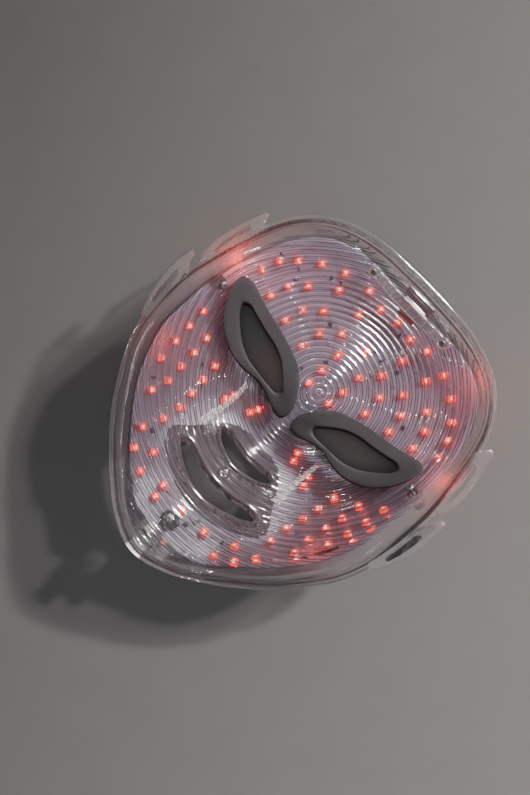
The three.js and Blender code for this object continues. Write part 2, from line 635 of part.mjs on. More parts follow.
// Latch block at the brow, higher than the bar, with a pocket in its face.
const LATCH = {
  wide: 19, tall: 9, deep: 3.4, // block
  sides: 5, ends: 4, pocketShift: 1.8, // material left round the pocket, and pocket's offset
  x: 2.2, y: 69.4, z: 31.0, lean: 66, // centre, and degrees about x
};
function clipLatch() {
  const { wide, tall, deep } = LATCH;
  const matrix = new THREE.Matrix4()
    .makeRotationX(rad(LATCH.lean))
    .setPosition(LATCH.x, LATCH.y, LATCH.z);
  const pocket = new THREE.BoxGeometry(wide - LATCH.sides, tall - LATCH.ends, deep);
  return placed(new THREE.BoxGeometry(wide, tall, deep), matrix)
    .subtract(placed(pocket.translate(0, 0, LATCH.pocketShift), matrix));
}

const TAB_Y = 63.9;
function clipTab() {
  const plate = onFace(new THREE.BoxGeometry(11, 3.2, 1.3), LATCH.x, TAB_Y, 9.0);
  return plate.add(onFace(new THREE.BoxGeometry(7, 2.2, 1.6), LATCH.x, TAB_Y, 8.0));
}

// ---------------------------------------------------------------- chin electronics
const PCB = { size: [23.5, 8.6, 1.0], x: 2.6, y: -117.3, low: 3.5 };
const PCB_TOP = PCB.low + PCB.size[2];
const PART_GAP = 0.3; // under the connector and the chip
const PORT_WALL = 0.4;
const INDUCTOR = { x: 7.0, y: -114.6, low: 5.2, high: 7.2 };
// Flat tail: x edges, thickness, and [y, z] of its stations.
const TAIL = { left: -4.8, right: -1.2, thick: 0.3 };
const TAIL_STATIONS = [[-111.6, 5.4], [-112.6, 6.2], [-113.6, 6.9], [-114.0, 6.9]];

function controlBoard() {
  const plate = box(PCB.size, [PCB.x, PCB.y, PCB.low + PCB.size[2] / 2]);
  return plate.subtract(post(BUTTON.radius + 0.6, BUTTON.x, BUTTON.y, 0, 10, BUTTON.sides));
}
function portShell() {
  const y = (PORT.back + PORT.mouth) / 2;
  const long = PORT.back - PORT.mouth;
  const inside = [PORT.wide - 2 * PORT_WALL, long, PORT.high - 2 * PORT_WALL];
  return box([PORT.wide, long, PORT.high], [0, y, PORT.z])
    .subtract(box(inside, [0, y - 0.8, PORT.z]));
}
const portTongue = () => box([6.6, 5.4, 0.7], [0, PORT.back - 3.8, PORT.z]);
const boardPart = (size, x, y) => box(size, [x, y, PCB_TOP + PART_GAP + size[2] / 2]);
function powerInductor() {
  const { x, y, low, high } = INDUCTOR;
  return post(1.3, x, y, low, high, 8).add(box([3.0, 2.6, 0.8], [x, y, low + 0.2]));
}
const buttonSwitch = () => post(BUTTON.radius, BUTTON.x, BUTTON.y, 2.9, 5.4, BUTTON.sides);
function powerButton() {
  const cap = post(BUTTON.radius, BUTTON.x, BUTTON.y, -2.7, 1.75, BUTTON.sides);
  return cap.add(post(1.5, BUTTON.x, BUTTON.y, 1.6, 2.2, 12));
}
function flexTail() {
  const { left, right, thick } = TAIL;
  return bar(TAIL_STATIONS.map(([y, z]) =>
    [[left, 0], [right, 0], [right, thick], [left, thick]]
      .map(([x, rise]) => new THREE.Vector3(x, y, z + rise))));
}

// ---------------------------------------------------------------- battery, behind the brow
const CELL = { size: [34, 26, 2.4], y: 34, level: -2.75, slopeReach: 12 };
const LEAD = { radius: 0.7, level: -3.0, path: [[3, 20.2], [4, 15], [2, 9], [3, 3]] };
const HEADER = { size: [5, 3, 2.2], x: 3, y: 0.4, level: -2.6 };

function batteryCell() {
  const { size, y, level, slopeReach } = CELL;
  const rise = faceZ(0, y + slopeReach) - faceZ(0, y - slopeReach);
  const matrix = new THREE.Matrix4().makeRotationX(Math.atan(rise / (2 * slopeReach)));
  return placed(new THREE.BoxGeometry(...size), matrix.setPosition(layerPoint(0, y, level)));
}
function batteryLead() {
  const path = LEAD.path.map(([x, y]) => layerPoint(x, y, LEAD.level));
  const circle = new THREE.Path().absarc(0, 0, LEAD.radius, 0, Math.PI * 2).getPoints(6);
  return solid(new THREE.ExtrudeGeometry(new THREE.Shape(circle.slice(0, -1)), {
    steps: 8,
    bevelEnabled: false,
    extrudePath: new THREE.CatmullRomCurve3(path),
  }));
}
const batteryHeader = () =>
  box(HEADER.size, layerPoint(HEADER.x, HEADER.y, HEADER.level).toArray());

// ---------------------------------------------------------------- screws
const CROSS = { wide: 0.8, deep: 1.2, share: 1.1 }; // recess; length as a share of head radius

// Upright screw, its head clear of the lens all round and its shank down in the post.
function midlineScrew({ x, y, headRadius }) {
  const rim = Array.from({ length: 8 }, (_, k) => {
    const angle = (k * Math.PI) / 4;
    const rimX = x + headRadius * Math.cos(angle);
    return layerZ(rimX, y + headRadius * Math.sin(angle), LENS_HIGH);
  });
  const seat = Math.max(...rim) + 0.5;
  const top = seat + HEAD_HIGH;
  const long = headRadius * CROSS.share;
  return post(headRadius, x, y, seat, top, 14, headRadius * HEAD_TAPER)
    .add(post(SHANK_RADIUS, x, y, seat - 7.5, seat + 0.2, SHANK_SIDES))
    .subtract(box([long, CROSS.wide, CROSS.deep], [x, y, top]))
    .subtract(box([CROSS.wide, long, CROSS.deep], [x, y, top]));
}
// Screw set square to the face, head and shank centred at their own levels.
function faceScrew({ x, y }, head, headLevel, shankLevel) {
  const shank = cylinder(SHANK_RADIUS, SHANK_LONG, SHANK_SIDES);
  return onFace(head, x, y, headLevel).add(onFace(shank, x, y, shankLevel));
}
const clipScrew = (screw) => faceScrew(screw, cylinder(2.4, 1.6), CLIP.low + 5.3, CLIP.low + 1);
function templeScrew(screw) {
  const radius = TEMPLE_HEAD_RADIUS;
  const head = cylinder(radius, HEAD_HIGH, 14, radius * HEAD_TAPER);
  return faceScrew(screw, head, LENS_HIGH + 1.6, LENS_HIGH - 2.4);
}

// ---------------------------------------------------------------- materials
const MATERIALS = {
  clear: { color: 0xdfe3e6, roughness: 0.06, metalness: 0, transparent: true, opacity: 0.35 },
  board: { color: 0xa79cb2, roughness: 0.55, metalness: 0 },
  led: {
    color: 0xff3a2a, roughness: 0.4, metalness: 0,
    emissive: 0xff2a1a, emissiveIntensity: 1.5,
  },
  silicone: { color: 0x55565a, roughness: 0.62, metalness: 0 },
  steel: { color: 0xc4c6c8, roughness: 0.25, metalness: 1 },
  black: { color: 0x15161a, roughness: 0.5, metalness: 0 },
  pcb: { color: 0x8b8698, roughness: 0.5, metalness: 0 },
  copper: { color: 0xc98a62, roughness: 0.4, metalness: 0.6 },
  cream: { color: 0xe8dfcf, roughness: 0.5, metalness: 0 },
  button: { color: 0x9ba1a4, roughness: 0.35, metalness: 0 },
  foil: { color: 0xc9cdd2, roughness: 0.35, metalness: 0.5 },
  wire: { color: 0x8c1f1c, roughness: 0.5, metalness: 0 },
};

// ---------------------------------------------------------------- assembly
const mask = new THREE.Group();
mask.rotation.x = -rad(LEAN);
mask.position.set(0, ORIGIN_Y, REST_Z);

function add(name, body, material) {
  const surface = new THREE.MeshStandardMaterial(MATERIALS[material]);
  const mesh = new THREE.Mesh(geometryOf(body), surface);
  mesh.name = name;
  mask.add(mesh);
}

add("outer_shell", outerShell(), "clear");
add("inner_lens", innerLens(), "clear");
add("led_board", ledBoard(), "board");
for (const [name, list] of Object.entries(LED_ARCS)) {
  add("led_arc_" + name, ledRow(acrossMidline(list)), "led");
}
for (const [name, list] of Object.entries(LED_ROWS)) {
  const left = name === "jaw" ? [JAW_EXTRA, ...list] : list;
  add("led_row_" + name + "_right", ledRow(list), "led");
  add("led_row_" + name + "_left", ledRow(flip(left)), "led");
}
const cup = eyeCupSolid();
add("eye_cup_right", cup, "silicone");
add("eye_cup_left", mirror(cup), "silicone");
add("clip_bar", clipBar(), "clear");
add("clip_latch", clipLatch(), "clear");
add("clip_tab", clipTab(), "clear");
for (const screw of CLIP_SCREWS) add(screw.name, clipScrew(screw), "steel");
for (const screw of MIDLINE_SCREWS) add(screw.name, midlineScrew(screw), "steel");
for (const screw of TEMPLE_SCREWS) add(screw.name, templeScrew(screw), "steel");
add("control_board", controlBoard(), "pcb");
add("charge_port_shell", portShell(), "steel");
add("charge_port_tongue", portTongue(), "black");
add("board_connector", boardPart([4.4, 2.8, 2.4], -3.0, -115.7), "cream");
add("power_inductor", powerInductor(), "copper");
add("driver_chip", boardPart([2.8, 2.8, 0.9], -7.0, -119.0), "black");
add("button_switch", buttonSwitch(), "button");
add("power_button", powerButton(), "button");
add("flex_tail", flexTail(), "board");
add("battery_cell", batteryCell(), "foil");
add("battery_lead", batteryLead(), "wire");
add("battery_header", batteryHeader(), "cream");

export default mask;
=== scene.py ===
# LED light-therapy face mask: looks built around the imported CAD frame.
# It rests on nose and forehead with its hollow up. Work is done in mask millimetres:
# origin at the centre of the lens ribs between the brows, +X to the right, +Y to the
# forehead, +Z out of the hollow. to_frame() leans this into the CAD frame, in metres.
import math

import bpy
import bmesh
import numpy as np
from mathutils import Vector, Matrix


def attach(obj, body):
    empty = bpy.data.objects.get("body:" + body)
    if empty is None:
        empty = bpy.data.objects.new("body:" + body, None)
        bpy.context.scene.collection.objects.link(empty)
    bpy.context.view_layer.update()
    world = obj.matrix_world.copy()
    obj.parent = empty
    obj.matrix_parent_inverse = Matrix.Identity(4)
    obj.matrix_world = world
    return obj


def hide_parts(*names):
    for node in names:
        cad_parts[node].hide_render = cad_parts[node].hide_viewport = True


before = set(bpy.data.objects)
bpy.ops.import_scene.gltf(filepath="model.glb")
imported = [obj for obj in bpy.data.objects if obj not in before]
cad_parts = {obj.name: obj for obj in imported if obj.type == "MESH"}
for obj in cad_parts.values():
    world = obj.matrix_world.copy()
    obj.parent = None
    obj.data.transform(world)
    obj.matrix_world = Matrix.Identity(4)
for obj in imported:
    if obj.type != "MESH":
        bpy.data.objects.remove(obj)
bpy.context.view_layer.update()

ORIGIN_Y, REST_Z, LEAN = 20.332, 10.235, math.radians(10.55)
LEAN_COS, LEAN_SIN = math.cos(LEAN), math.sin(LEAN)

# ---------------------------------------------------------------- shape tables, mm
# Radii about (0, OUTLINE_Y) and rim height, every 10 degrees from forehead (0) to chin (180)
OUTLINE_Y = -15.0
EDGE_RADIUS = [85.5, 86.2, 89.6, 93, 94, 90.5, 86, 82, 79.5, 79,
               79.5, 81.5, 83, 85, 87, 90.5, 97, 104, 108]
BOARD_RADIUS = [84.3, 85, 88.4, 91.8, 92.8, 89.4, 85, 81, 78.5, 78,
                78.5, 80.5, 82, 84, 86, 89, 94, 99.5, 104]
RIM_RADIUS = [90.2, 91.2, 94.2, 97.2, 98.7, 97.2, 93.0, 89.5, 88.2, 88,
              88.6, 90.6, 92.3, 93, 95.5, 98.5, 103, 109, 113]
RIM_HEIGHT = [32, 32, 32, 32, 32.5, 33, 34.5, 35, 34, 36,
              35, 32, 28, 25, 21, 18, 15, 14, 14]

# Height of the face surface. Rows: y from 100 down in steps of 10; columns: |x| from 0 by 10
FACE_TOP_Y = 100.0
FACE_HEIGHTS = np.array([
    [42.9, 43.1, 43.8, 44.9, 46.7, 49.2, 52.5, 56.7, 61.6, 66.9, 72.5, 78.2],
    [34.4, 34.7, 35.4, 36.6, 38.5, 41.4, 45.3, 50.1, 55.8, 61.9, 68.2, 74.5],
    [25.1, 25.3, 26.2, 27.6, 29.8, 33.0, 37.7, 43.5, 50.1, 57.1, 64.1, 71.0],
    [15.5, 15.8, 16.8, 18.4, 20.9, 24.5, 30.1, 37.1, 44.8, 52.8, 60.6, 68.1],
    [9.3, 9.8, 11.0, 12.8, 15.3, 18.4, 23.5, 31.2, 40.2, 49.1, 57.6, 65.6],
    [6.6, 7.1, 8.4, 10.4, 12.9, 15.5, 19.4, 26.7, 36.5, 46.2, 55.3, 63.7],
    [5.3, 5.7, 6.9, 8.8, 11.0, 13.3, 16.4, 23.2, 33.5, 44.1, 53.6, 62.3],
    [4.3, 4.6, 5.7, 7.3, 9.4, 11.4, 13.8, 20.2, 31.5, 42.6, 52.5, 61.4],
    [3.1, 3.5, 4.4, 5.9, 7.9, 10.0, 12.4, 18.2, 30.2, 41.8, 51.9, 60.9],
    [1.7, 2.1, 3.1, 4.5, 6.4, 8.8, 12.4, 19.5, 30.8, 41.9, 51.9, 60.8],
    [0.0, 0.6, 1.8, 3.1, 4.8, 7.6, 12.5, 20.6, 31.7, 42.4, 52.1, 60.9],
    [-2.2, -1.5, -0.0, 1.3, 3.3, 6.6, 12.4, 20.9, 32.2, 42.9, 52.5, 61.2],
    [-5.7, -5.0, -3.3, -1.1, 1.6, 5.7, 11.9, 20.7, 32.7, 43.7, 53.2, 61.8],
    [-8.9, -8.2, -6.4, -3.5, -0.4, 4.1, 11.3, 21.7, 34.3, 44.9, 54.2, 62.4],
    [-9.0, -7.9, -5.9, -3.9, -1.6, 3.2, 11.9, 23.8, 36.0, 46.3, 55.2, 63.2],
    [-5.7, -4.6, -3.0, -2.4, -1.6, 3.4, 13.1, 25.1, 37.7, 47.8, 56.3, 63.7],
    [-2.2, -1.6, -0.6, -0.9, -0.7, 5.3, 16.3, 28.3, 39.7, 49.1, 56.9, 64.0],
    [-1.0, -0.7, 0.1, 0.5, 1.6, 9.4, 21.2, 31.3, 40.3, 49.1, 56.7, 63.7],
    [-0.7, -0.4, 0.2, 1.8, 5.9, 15.1, 25.3, 32.5, 39.9, 48.4, 56.1, 63.2],
    [0.6, 1.0, 1.5, 3.3, 10.6, 20.2, 28.0, 34.2, 40.9, 48.4, 55.8, 62.7],
    [1.9, 2.4, 3.0, 4.7, 13.6, 23.1, 30.1, 36.1, 42.4, 49.1, 55.9, 62.4],
    [2.9, 3.7, 5.6, 9.8, 17.1, 25.1, 32.0, 37.9, 43.9, 50.0, 56.2, 62.3],
    [5.4, 6.7, 9.6, 14.3, 20.6, 27.2, 33.6, 39.4, 45.1, 50.9, 56.7, 62.4],
    [10.0, 11.1, 14.1, 18.3, 23.7, 29.4, 35.2, 40.8, 46.3, 51.7, 57.2, 62.6],
    [14.9, 15.8, 18.3, 22.0, 26.6, 31.7, 36.9, 42.2, 47.4, 52.6, 57.7, 62.9],
])

# Closed outlines, (x, y); those of the eye and the strap hooks are for the +X side
EYE_HOLE = [(60, -1.5), (57, 1), (51, 0.4), (42, -1), (33, -2.2), (25.5, -5), (18.5, -10),
            (13.2, -15.6), (15, -17.2), (21, -16.4), (30, -15.8), (38, -15.4), (46, -13.2),
            (53, -9.8), (58, -5.6)]
CHEEK_BOW = {15: 0.9, 21: 2.0, 30: 2.4, 38: 2.0, 46: 1.3}  # x of an eye hole point: y drop
CUP_EDGE = [(68, 8), (63, 9.5), (58, 8.6), (50, 7), (42, 5.9), (33, 4.5), (24, 2.3), (17, -0.3),
            (10.5, -5), (6, -10.5), (2.9, -16), (2.2, -21), (4, -24.6), (7.5, -25),
            (13.5, -23.2), (19.3, -21.5), (25.6, -20.8), (32.4, -22), (39.5, -22.9),
            (46.4, -22.2), (53.5, -20), (59.5, -15.7), (63.7, -11), (66.6, -6), (68.8, 0),
            (69.4, 5)]
MOUTH = [(-30, -71.6), (-24, -70.4), (-16, -72.2), (-8, -74), (0, -74.8), (8, -74),
         (16, -72.2), (24, -70.4), (30, -71.6), (27.4, -74.6), (21.5, -78), (15, -80.8),
         (8, -83), (0, -83.8), (-8, -83), (-15, -80.8), (-21.5, -78), (-27.4, -74.6)]
NOSTRILS = [(-20, -51.4), (-15.5, -49.8), (-8, -50.8), (0, -51.4), (8, -50.8), (15.5, -49.8),
            (20, -51.4), (17.6, -54.6), (12.5, -57.4), (6.5, -59.4), (0, -60.2),
            (-6.5, -59.4), (-12.5, -57.4), (-17.6, -54.6)]
NOSE_CUTOUT = [(0, -41), (11, -41.5), (20, -46), (27, -55), (32, -62.5), (38.5, -70.5),
               (37, -76), (30, -82), (21, -87), (11, -90), (0, -91.2), (-11, -90), (-21, -87),
               (-30, -82), (-37, -76), (-38.5, -70.5), (-32, -62.5), (-27, -55), (-20, -46),
               (-11, -41.5)]
HOOK_UPPER = [(81.6, 22), (85.2, 8), (86.4, -2), (90.4, -3.4), (92.6, 0), (93, 11), (90.2, 25),
              (86.4, 37.2), (83.6, 37.4), (82, 33), (79.6, 31.4)]
HOOK_LOWER = [(84.4, -46), (88.6, -47.4), (93.4, -37), (96.8, -24), (97, -13), (96, -5.2),
              (93.6, -5.4), (91, -12.4), (86.6, -15), (86.4, -30)]
SLOT_UPPER = [(84.3, 26.5), (87, 16), (88, 4), (90, 3.4), (90.3, 10), (89.3, 17), (86.6, 27.2)]
SLOT_LOWER = [(88.6, -38.6), (89.9, -28), (90.4, -19.4), (92.9, -16.8), (93.8, -22),
              (92.6, -31.6), (90.8, -38.4)]

# Screws on the centre line: name, x, y, post radius, head radius
MID_SCREWS = [("chin", 0, -104.7, 4.2, 3.4), ("centre", 0, -66.6, 3.2, 2.5)]
TEMPLE_X, TEMPLE_Y = 76.2, -5.2

# LEDs, (x, y) of the +X side; an arc runs on across the centre line, a row has a mirror image
LED_ARCS = {
    "centre": [(8.5, 10), (7.9, 0.6)],
    "glabella": [(8.4, 21.7), (24.2, 22.1), (25.4, 10.7)],
    "forehead_inner": [(0, 34.4), (16.1, 31.2), (31.8, 31.7), (39.5, 23.4), (41.5, 12.8)],
    "forehead_middle": [(17.7, 44.7), (34.7, 45.3), (47.1, 34), (54.1, 25.9), (56.8, 14.9)],
    "forehead_outer": [(0, 57.7), (11.8, 55.6), (23, 57.6), (39, 53.8), (51, 47.4),
                       (60.8, 38.6), (67, 30), (69.9, 19.4)],
    "chin": [(0, -96.1), (16.5, -95.2), (33.8, -88.2), (46.5, -84.9)],
}
LED_ROWS = {
    "cheek_outer": [(71.7, -20.6), (70.3, -31.4), (68.8, -42.2), (66.5, -53.7)],
    "cheek_middle": [(61.6, -27.2), (60.3, -37.4), (58.8, -47.2), (57.1, -58), (57.9, -68.6)],
    "cheek_inner": [(48.9, -32.2), (47.5, -42), (45.8, -51.4), (44, -61.6), (44.2, -72.6)],
    "nose": [(16.3, -28.6), (18.2, -33.6), (30.5, -34.2), (32, -39.2)],
    "jaw": [(30.4, -99.8), (41, -94.6)],
}
LEFT_JAW_EXTRA = (-14.6, -102.2)  # one LED more than on the right
RESISTORS = [(-57.0, 35.6), (-53.7, 30.8), (-41.9, 45.7), (-37.0, 48.4), (-24.2, 29.5),
             (-10.7, 31.4), (5.5, 53.5), (4.3, 38.3), (9.8, 37.1), (20.2, 37.9), (11.2, 27.1),
             (-10.4, 14.3), (44.6, 19.0), (-16.5, 2.4), (7.0, -99.5), (9.8, -93.8),
             (27.2, -91.4), (-42.2, -81.2), (48.3, -57.9), (-28.9, 65.5), (-53.0, -37.2),
             (-68.5, 33.2), (62.4, 8.6), (30.5, 61.8), (52.0, -66.0), (-61.0, -62.5)]

PITCH = 3.2  # spacing of the lens ribs
# Distances of the layers from the board's upper face, and thickness of the rim wall
SHELL_OUT, SHELL_IN, LENS_LOW, LENS_HIGH, WALL = -8.0, -6.0, 4.0, 6.0, 2.2


# ---------------------------------------------------------------- coordinates
def to_frame(points):
    x, y, z = np.asarray(points, float).reshape(-1, 3).T
    return np.stack([x, y * LEAN_COS + z * LEAN_SIN + ORIGIN_Y,
                     -y * LEAN_SIN + z * LEAN_COS + REST_Z], 1) * 0.001


def from_frame(points):
    x, y, z = (points * 1000 - np.array([0, ORIGIN_Y, REST_Z])).T
    return np.stack([x, y * LEAN_COS - z * LEAN_SIN, y * LEAN_SIN + z * LEAN_COS], 1)


def leaned(direction):
    x, y, z = direction
    return Vector((x, y * LEAN_COS + z * LEAN_SIN, -y * LEAN_SIN + z * LEAN_COS))


# ---------------------------------------------------------------- face surface
def cubic(a, b, c, d, t):
    """Catmull-Rom value between b and c."""
    return b + 0.5 * t * (c - a + t * (2 * a - 5 * b + 4 * c - d + t * (3 * (b - c) + d - a)))


def table_height(table, spacing, x, y):
    """Smooth lookup in a height table that is mirrored at x = 0."""
    last_row, last_col = table.shape[0] - 1, table.shape[1] - 1
    u = np.minimum(np.abs(x) / spacing, last_col - 0.01)
    v = np.clip((FACE_TOP_Y - y) / spacing, 0, last_row - 0.01)
    i, j = np.floor(u).astype(int), np.floor(v).astype(int)

    def at(row, col):
        return table[np.clip(row, 0, last_row), np.minimum(np.abs(col), last_col)]

    rows = [cubic(*(at(j + k, i + m) for m in (-1, 0, 1, 2)), u - i) for k in (-1, 0, 1, 2)]
    return cubic(*rows, v - j)


def smooth_face():
    """The surface at every millimetre, with the table's small kinks smoothed away."""
    x, y = np.meshgrid(np.arange(0, 111.0), np.arange(FACE_TOP_Y, -141.0, -1.0))
    fine = table_height(FACE_HEIGHTS, 10.0, x, y)
    reach, sigma = 9, 3.0
    kernel = np.exp(-0.5 * (np.arange(-reach, reach + 1) / sigma) ** 2)
    kernel /= kernel.sum()
    wide = np.concatenate([fine[:, reach:0:-1], fine, np.repeat(fine[:, -1:], reach, 1)], 1)
    wide = np.stack([np.convolve(row, kernel, "valid") for row in wide])
    tall = np.concatenate([np.repeat(wide[:1], reach, 0), wide, np.repeat(wide[-1:], reach, 0)])
    return np.stack([np.convolve(col, kernel, "valid") for col in tall.T]).T


FINE_HEIGHTS = smooth_face()


def face_z(x, y):
    return table_height(FINE_HEIGHTS, 1.0, x, y)


def face_normal(x, y):
    h = 1.5
    n = np.stack([face_z(x - h, y) - face_z(x + h, y), face_z(x, y - h) - face_z(x, y + h),
                  np.full(np.shape(x), 2 * h)], -1)
    return n / np.linalg.norm(n, axis=-1, keepdims=True)


def off_face(x, y, distance):
    """Points at a distance along the normal over (x, y)."""
    x, y = np.asarray(x, float), np.asarray(y, float)
    distance = np.broadcast_to(np.asarray(distance, float), x.shape)[..., None]
    return np.stack([x, y, face_z(x, y)], -1) + face_normal(x, y) * distance


def layer_z(x, y, distance):
    """Height straight above (x, y) of the layer at that distance from the face."""
    x, y = np.asarray(x, float), np.asarray(y, float)
    foot_x, foot_y = x.copy(), y.copy()
    for _ in range(14):
        q = off_face(foot_x, foot_y, distance)
        foot_x -= 0.8 * (q[..., 0] - x)
        foot_y -= 0.8 * (q[..., 1] - y)
    return q[..., 2]


def face_axes(x, y):
    """Axes whose z is the surface normal at (x, y), and the surface point."""
    n = face_normal(np.float64(x), np.float64(y))
    across = np.cross([0, 1, 0], n)
    across /= np.linalg.norm(across)
    return np.column_stack([across, np.cross(n, across), n]), off_face(x, y, 0)


# ---------------------------------------------------------------- outlines
def radius_at(table, degrees):
    table = np.array(table, float)
    u = np.abs(((np.asarray(degrees, float) + 540) % 360) - 180) / 10.0
    i = np.minimum(np.floor(u).astype(int), 17)

    def at(k):
        return table[np.where(k < 0, -k, np.where(k > 18, 36 - k, k))]

    return cubic(at(i - 1), at(i), at(i + 1), at(i + 2), u - i)


def outline(table, degrees, inset=0.0):
    r = radius_at(table, degrees) - inset
    a = np.radians(degrees)
    return r * np.sin(a), OUTLINE_Y + r * np.cos(a)


def between(p, q, start, end, t):
    return (end - t) / (end - start) * p + (t - start) / (end - start) * q


def loop(points, n):
    """Closed centripetal Catmull-Rom curve as n evenly spaced points, anticlockwise."""
    P = np.array(points, float)
    dense = []
    for i in range(len(P)):
        a, b, c, d = (P[(i + k) % len(P)] for k in (-1, 0, 1, 2))
        t0 = 0.0
        t1 = t0 + np.sqrt(np.linalg.norm(b - a))
        t2 = t1 + np.sqrt(np.linalg.norm(c - b))
        t3 = t2 + np.sqrt(np.linalg.norm(d - c))
        for t in np.linspace(t1, t2, 24, endpoint=False):
            ab, bc, cd = between(a, b, t0, t1, t), between(b, c, t1, t2, t), between(c, d, t2, t3, t)
            dense.append(between(between(ab, bc, t0, t2, t), between(bc, cd, t1, t3, t), t1, t2, t))
    dense = np.array(dense)
    step = np.linalg.norm(np.roll(dense, -1, 0) - dense, axis=1)
    run = np.concatenate([[0], np.cumsum(step)])
    dense = np.vstack([dense, dense[:1]])
    q = np.linspace(0, run[-1], n, endpoint=False)
    even = np.stack([np.interp(q, run, dense[:, 0]), np.interp(q, run, dense[:, 1])], 1)
    x, y = even.T
    if (x * np.roll(y, -1) - np.roll(x, -1) * y).sum() < 0:
        even = np.vstack([even[:1], even[:0:-1]])
    return even


def grow(points, distance, smooth=0):
    t = np.roll(points, -1, 0) - np.roll(points, 1, 0)
    t /= np.maximum(np.linalg.norm(t, axis=1, keepdims=True), 1e-9)
    q = points + np.stack([t[:, 1], -t[:, 0]], 1) * distance
    for _ in range(smooth):
        q = 0.5 * q + 0.25 * (np.roll(q, 1, 0) + np.roll(q, -1, 0))
    return q


def flip_x(points):
    return (points * np.array([-1.0, 1.0]))[::-1]


def match(outer, inner):
    """The inner loop, started where it lies closest to the outer one."""
    best = min(range(len(outer)),
               key=lambda s: np.linalg.norm(outer - np.roll(inner, -s, 0), axis=1).sum())
    return np.roll(inner, -best, 0)


def segment_distance(x, y, start, end):
    a, b = np.array(start, float), np.array(end, float)
    ab = b - a
    t = np.clip(((x - a[0]) * ab[0] + (y - a[1]) * ab[1]) / max(ab @ ab, 1e-12), 0, 1)
    return np.hypot(x - a[0] - t * ab[0], y - a[1] - t * ab[1])


def loop_distance(x, y, points):
    best = np.full(x.shape, 1e9)
    for a, b in zip(points, np.roll(points, -1, 0)):
        best = np.minimum(best, segment_distance(x, y, a, b))
    return best


def rounded(points, fillet, steps):
    """Polygon with its corners rounded by up to the fillet."""
    points = np.asarray(points, float)
    out, n = [], len(points)
    for i in range(n):
        a, b, c = points[i - 1], points[i], points[(i + 1) % n]
        u, v = a - b, c - b
        len_u, len_v = np.linalg.norm(u), np.linalg.norm(v)
        d = min(fillet, len_u * 0.45, len_v * 0.45)
        p, q = b + u / len_u * d, b + v / len_v * d
        for t in np.linspace(0, 1, steps + 1):
            out.append((1 - t) ** 2 * p + 2 * t * (1 - t) * b + t * t * q)
    return np.array(out)


def circle(n):
    a = np.linspace(0, 2 * np.pi, n, endpoint=False)
    return np.stack([np.cos(a), np.sin(a)], 1)


def with_z(points, z):
    return np.column_stack([points, np.broadcast_to(z, (len(points),))])


def on_layer(points, distance, lift=0.0):
    return with_z(points, layer_z(points[:, 0], points[:, 1], distance) + lift)


# ---------------------------------------------------------------- forms: (vertices, faces)
def skin(rings, first=None, last=None, closed=False, capped=False):
    """Quads between rings; the ends close on a first and last point, or are capped."""
    rings = [np.asarray(r, float) for r in rings]
    n, m = len(rings[0]), len(rings)
    verts = np.vstack(rings)
    band = np.arange(m if closed else m - 1)
    a, b = band[:, None] * n, ((band + 1) % m)[:, None] * n
    i = np.arange(n)[None, :]
    j = (i + 1) % n
    faces = np.stack([a + i, a + j, b + j, b + i], -1).reshape(-1, 4).tolist()
    for base, pole, flip in ((0, first, True), ((m - 1) * n, last, False)):
        if pole is not None:
            k = len(verts)
            verts = np.vstack([verts, np.reshape(pole, (1, 3))])
            for q in range(n):
                edge = [base + q, base + (q + 1) % n]
                faces.append([k] + (edge[::-1] if flip else edge))
        elif capped:
            cap = [base + q for q in range(n)]
            faces.append(cap[::-1] if flip else cap)
    return verts, faces


def lathe(profile, n):
    """Profile of (radius, z) from the axis round to the axis."""
    rings = [with_z(r * circle(n), z) for r, z in profile[1:-1]]
    return skin(rings, first=[0, 0, profile[0][1]], last=[0, 0, profile[-1][1]])


def cylinder(radius, low, high, n):
    return lathe([(0, low), (radius, low), (radius, high), (0, high)], n)


def block(width, depth, height, fillet, steps):
    """A block with rounded corners and edges, centred on the origin."""
    r = min(fillet, width * 0.49, depth * 0.49, height * 0.49)
    half = np.array([width, depth]) / 2
    base = rounded(half * [[-1, -1], [1, -1], [1, 1], [-1, 1]], r * 1.4, steps)
    rings = []
    for side, shares in ((-1, np.linspace(0, 1, steps + 1)), (1, np.linspace(1, 0, steps + 1))):
        for a in shares * np.pi / 2:
            s = r * (1 - np.sin(a))
            scale = np.array([(width - 2 * s) / width, (depth - 2 * s) / depth])
            rings.append(with_z(base * scale, side * (height / 2 - r * (1 - np.cos(a)))))
    return skin(rings, capped=True)


def put(form, axes, at):
    return form[0] @ np.asarray(axes).T + np.asarray(at), form[1]


def shift(form, x, y, z):
    return form[0] + np.array([x, y, z]), form[1]


def on_face(form, x, y, offset=(0, 0, 0), turned=np.eye(3)):
    """The form stood on the face at (x, y), turned and then offset along its own axes."""
    axes, at = face_axes(x, y)
    axes = axes @ turned
    return put(form, axes, at + axes @ np.array(offset))


def gather(forms):
    faces, k = [], 0
    for v, f in forms:
        faces += [[q + k for q in face] for face in f]
        k += len(v)
    return np.vstack([v for v, _ in forms]), faces


def turn_x(angle):
    c, s = math.cos(angle), math.sin(angle)
    return np.array([[1, 0, 0], [0, c, -s], [0, s, c]])


def turn_z(angle):
    c, s = math.cos(angle), math.sin(angle)
    return np.array([[c, -s, 0], [s, c, 0], [0, 0, 1]])


# ---------------------------------------------------------------- meshes
def make(name, form, *materials, body=None, sharp=None, in_frame=False):
    """Object from a form in mask millimetres (in_frame: in the frame, metres)."""
    verts, faces = form
    me = bpy.data.meshes.new(name)
    me.from_pydata((verts if in_frame else to_frame(verts)).tolist(), [],
                   [list(map(int, f)) for f in faces])
    me.validate()
    ob = bpy.data.objects.new(name, me)
    bpy.context.scene.collection.objects.link(ob)
    for material in materials:
        me.materials.append(material)
    tidy(ob, sharp)
    if body:
        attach(ob, body)
    return ob


def tool(form, in_frame=False):
    """A passing object for a boolean."""
    return make("tool", form, in_frame=in_frame)


